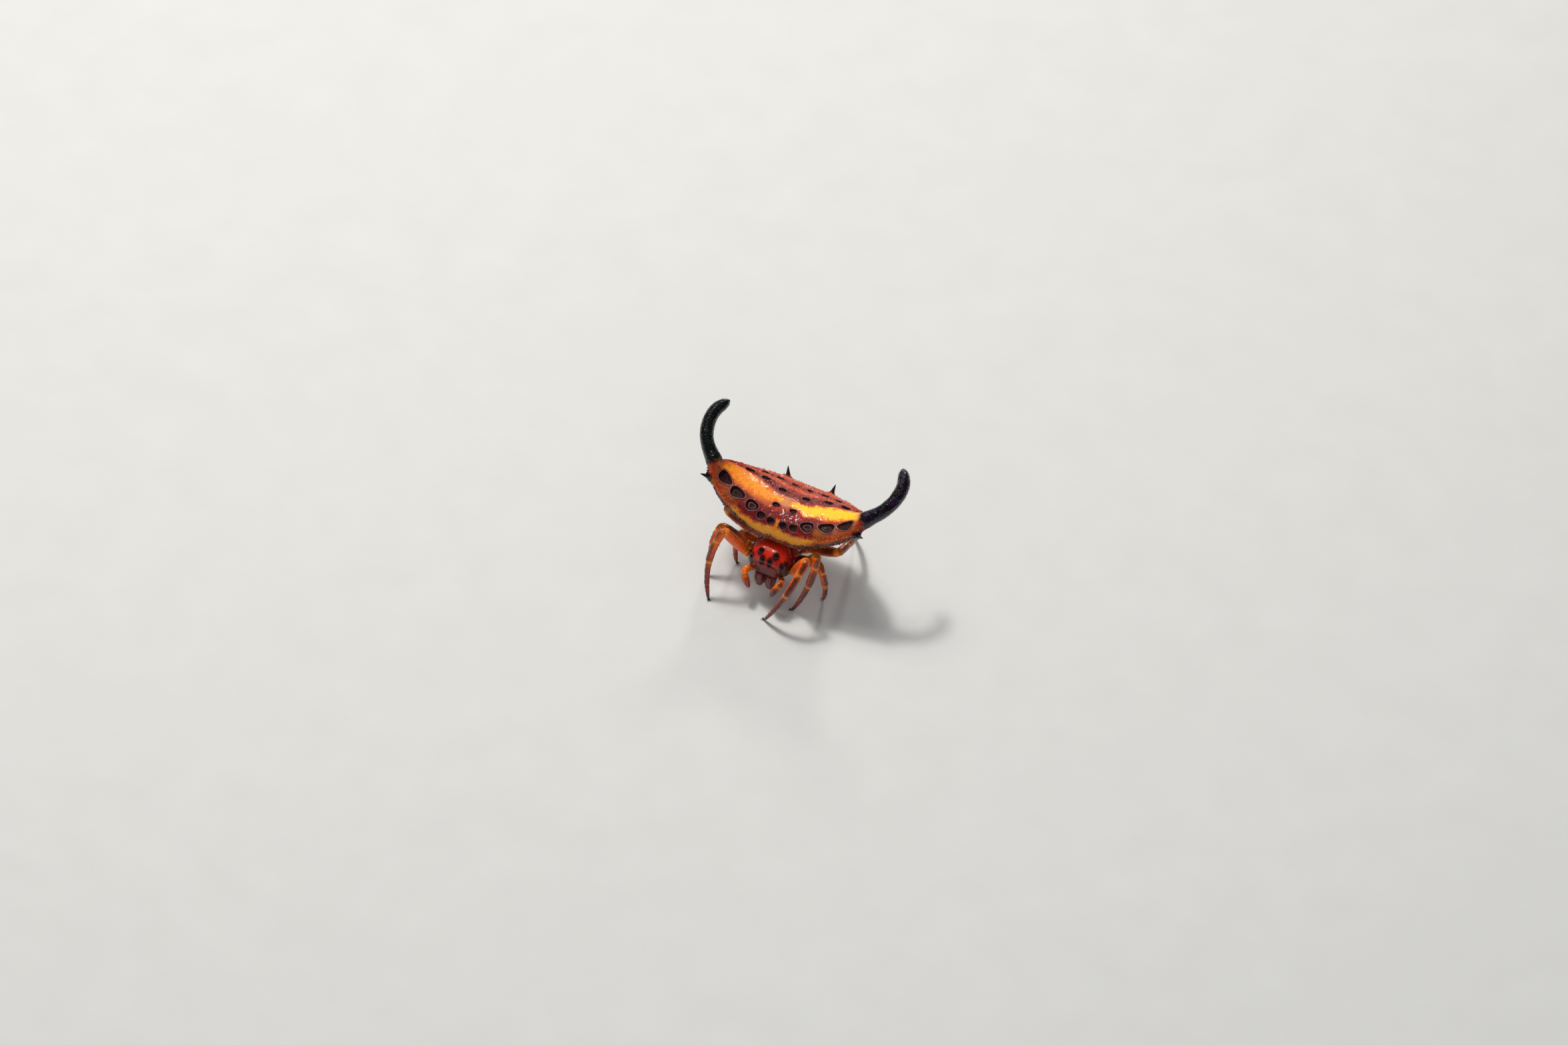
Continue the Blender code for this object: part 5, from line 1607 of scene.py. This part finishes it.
# %% The shapes of the coats
# Bristles a square millimetre, length in mm, radius as a share of it, lean, bend and jitter
HORN_FUZZ = (170, 0.12, 0.04, 0.4, 0.25, 0.3)
RIM_TEETH = (45, 0.12, 0.5, 0.1, 0.1, 0.3)
RIM_BRISTLES = (26, 0.16, 0.06, 0.15, 0.2, 0.5)
REAR_BRISTLES = (50, 0.13, 0.09, 0.4, 0.3, 0.4)
FACE_HAIR = (26, 0.2, 0.04, 0.45, 0.3, 0.4)
LEG_HAIR = (60, 0.17, 0.05, 0.62, 0.2, 0.3)
LONG_HAIR = (9, 0.42, 0.028, 0.42, 0.3, 0.3)
JAW_HAIR = (30, 0.22, 0.04, 0.6, 0.3, 0.3)
print("shortest coat:", HORN_FUZZ[1], "mm, longest:", LONG_HAIR[1], "mm")

# %% Grow the coats
for number, (side_name, horn) in enumerate(horn_skins.items()):
    grow(f"horn_fuzz_{side_name}", horn, fuzz, "coat", HORN_FUZZ, number)
grow("rim_teeth", shell_skin, shell.material, "rim_coat", RIM_TEETH, 3)
grow("rim_bristles", shell_skin, dark_bristle, "rim_coat", RIM_BRISTLES, 4)
grow("shield_bristles", shell_skin, warm_bristle, "seta_coat", REAR_BRISTLES, 5)
grow("face_hair", carapace_skin, warm_bristle, "coat", FACE_HAIR, 6)
for number, skin in enumerate([*leg_skins, *palps]):
    name = skin.name.replace("skin", "hair")
    grow(name, skin, dark_bristle, "coat", LEG_HAIR, 20 + number)
    name = skin.name.replace("skin", "long_hair")
    grow(name, skin, dark_bristle, "long_coat", LONG_HAIR, 40 + number)
for number, jaw in enumerate(jaws):
    grow(f"{jaw.name}_hair", jaw, dark_bristle, "coat", JAW_HAIR, 60 + number)
print("coats:", len(coat_faces), "faces in all:", sum(coat_faces), "most in one:", max(coat_faces))

# %% [markdown]
# ## Floor and camera
#
# The photo looks down on the spider's left shoulder, from 47 degrees above and 25 degrees round, with
# the camera rolled by 3 degrees. The animal is small in the picture, so the camera is far away with a
# long lens, which is also why nothing seems to converge. Everything in the picture is placed from one
# point: the middle of the shield, which the photo shows 21 pixels to the millimetre.

# %% Floor
FLOOR_HALF = 1.5
floor_mesh = bpy.data.meshes.new("floor")
corners = [(x * FLOOR_HALF, y * FLOOR_HALF, 0) for x, y in ((-1, -1), (1, -1), (1, 1), (-1, 1))]
floor_mesh.from_pydata(corners, [], [(0, 1, 2, 3)])
floor = bpy.data.objects.new("floor", floor_mesh)
bpy.context.scene.collection.objects.link(floor)
pale = Finish("pale_floor", Roughness=0.9)
pale.lay(pale.mix((0.53, 0.53, 0.52), (0.57, 0.57, 0.56), pale.noise(4.0)))
floor_mesh.materials.append(pale.material)
print("floor:", 2 * FLOOR_HALF, "m wide")

# %% Camera
RIGHT = np.array([0.8889, 0.4567, 0.0357])
UP = np.array([-0.3561, 0.6398, 0.6811])
BACK = np.array([0.2882, -0.6181, 0.7314])
PHOTO_SIZE = (2352, 1568)
PIXELS_PER_MM = 21.0
ANCHOR = np.array([0.0, 0.0, 7.85]) + SHIFT
ANCHOR_PIXEL = (1185.0, 736.5)
LENS = 200.0
SENSOR = 36.0
aside = (ANCHOR_PIXEL[0] - PHOTO_SIZE[0] / 2) / PIXELS_PER_MM
above_middle = (PHOTO_SIZE[1] / 2 - ANCHOR_PIXEL[1]) / PIXELS_PER_MM
target = ANCHOR - aside * RIGHT - above_middle * UP
distance = LENS / SENSOR * PHOTO_SIZE[0] / PIXELS_PER_MM
camera_data = bpy.data.cameras.new("camera")
camera_data.lens = LENS
camera_data.sensor_width = SENSOR
camera_data.clip_start = 0.01
camera_data.clip_end = 20.0
camera = bpy.data.objects.new("camera", camera_data)
bpy.context.scene.collection.objects.link(camera)
place = (target + BACK * distance) * MM
camera.matrix_world = Matrix([[RIGHT[k], UP[k], BACK[k], place[k]] for k in range(3)] + [[0, 0, 0, 1]])
bpy.context.scene.camera = camera
print("camera", round(distance), "mm away")

# %% [markdown]
# ## Light
#
# Wide lamps and a pale world light the animal softly, but mirrored in its polish they would lay a grey
# veil over the black and the maroon. So the wide key and fill lamps and the world are kept out of
# reflections. A small lamp at the key's place and one behind the animal do show in them, and give the
# hard sparkles that the photo has.

# %% Lamps
# Name, place in metres, width in metres, watts, tint, and whether it shows in reflections
LIGHTS = (
    ("key", (-0.14, 0.08, 0.3), 0.14, 0.65, (1.0, 0.97, 0.92), False),
    ("glint", (-0.14, 0.08, 0.3), 0.04, 0.55, (1.0, 0.98, 0.95), True),
    ("rim", (-0.07, 0.28, 0.15), 0.05, 0.25, (1.0, 0.97, 0.92), True),
    ("fill", (0.22, -0.3, 0.16), 0.3, 0.35, (0.95, 0.98, 1.0), False),
)
centre = (cad_low + cad_high) / 2
for name, place, size, power, tint, shows in LIGHTS:
    data = bpy.data.lights.new(name, "AREA")
    data.shape = "DISK"
    data.size = size
    data.energy = power
    data.color = tint
    lamp = bpy.data.objects.new(name, data)
    lamp.visible_glossy = shows
    lamp.location = place
    lamp.rotation_euler = (Vector(place) - centre).to_track_quat("Z", "Y").to_euler()
    bpy.context.scene.collection.objects.link(lamp)
print("lamps:", len(LIGHTS))

# %% World
world = bpy.data.worlds.new("studio")
world.use_nodes = True
backdrop = world.node_tree.nodes["Background"].inputs
backdrop["Color"].default_value = (0.9, 0.93, 0.95, 1)
backdrop["Strength"].default_value = 0.32
world.cycles_visibility.glossy = False
bpy.context.scene.world = world
bpy.context.scene.view_settings.view_transform = "Standard"
print("world strength:", round(backdrop["Strength"].default_value, 2))

# %% [markdown]
# ## The made pieces
#
# The script ends by counting the pieces and their faces. The dressed model may stand
# only a little proud of the solids.

# %% Count the pieces and faces
print("pieces:", len(made_pieces), "faces:", sum(len(p.data.polygons) for p in made_pieces))
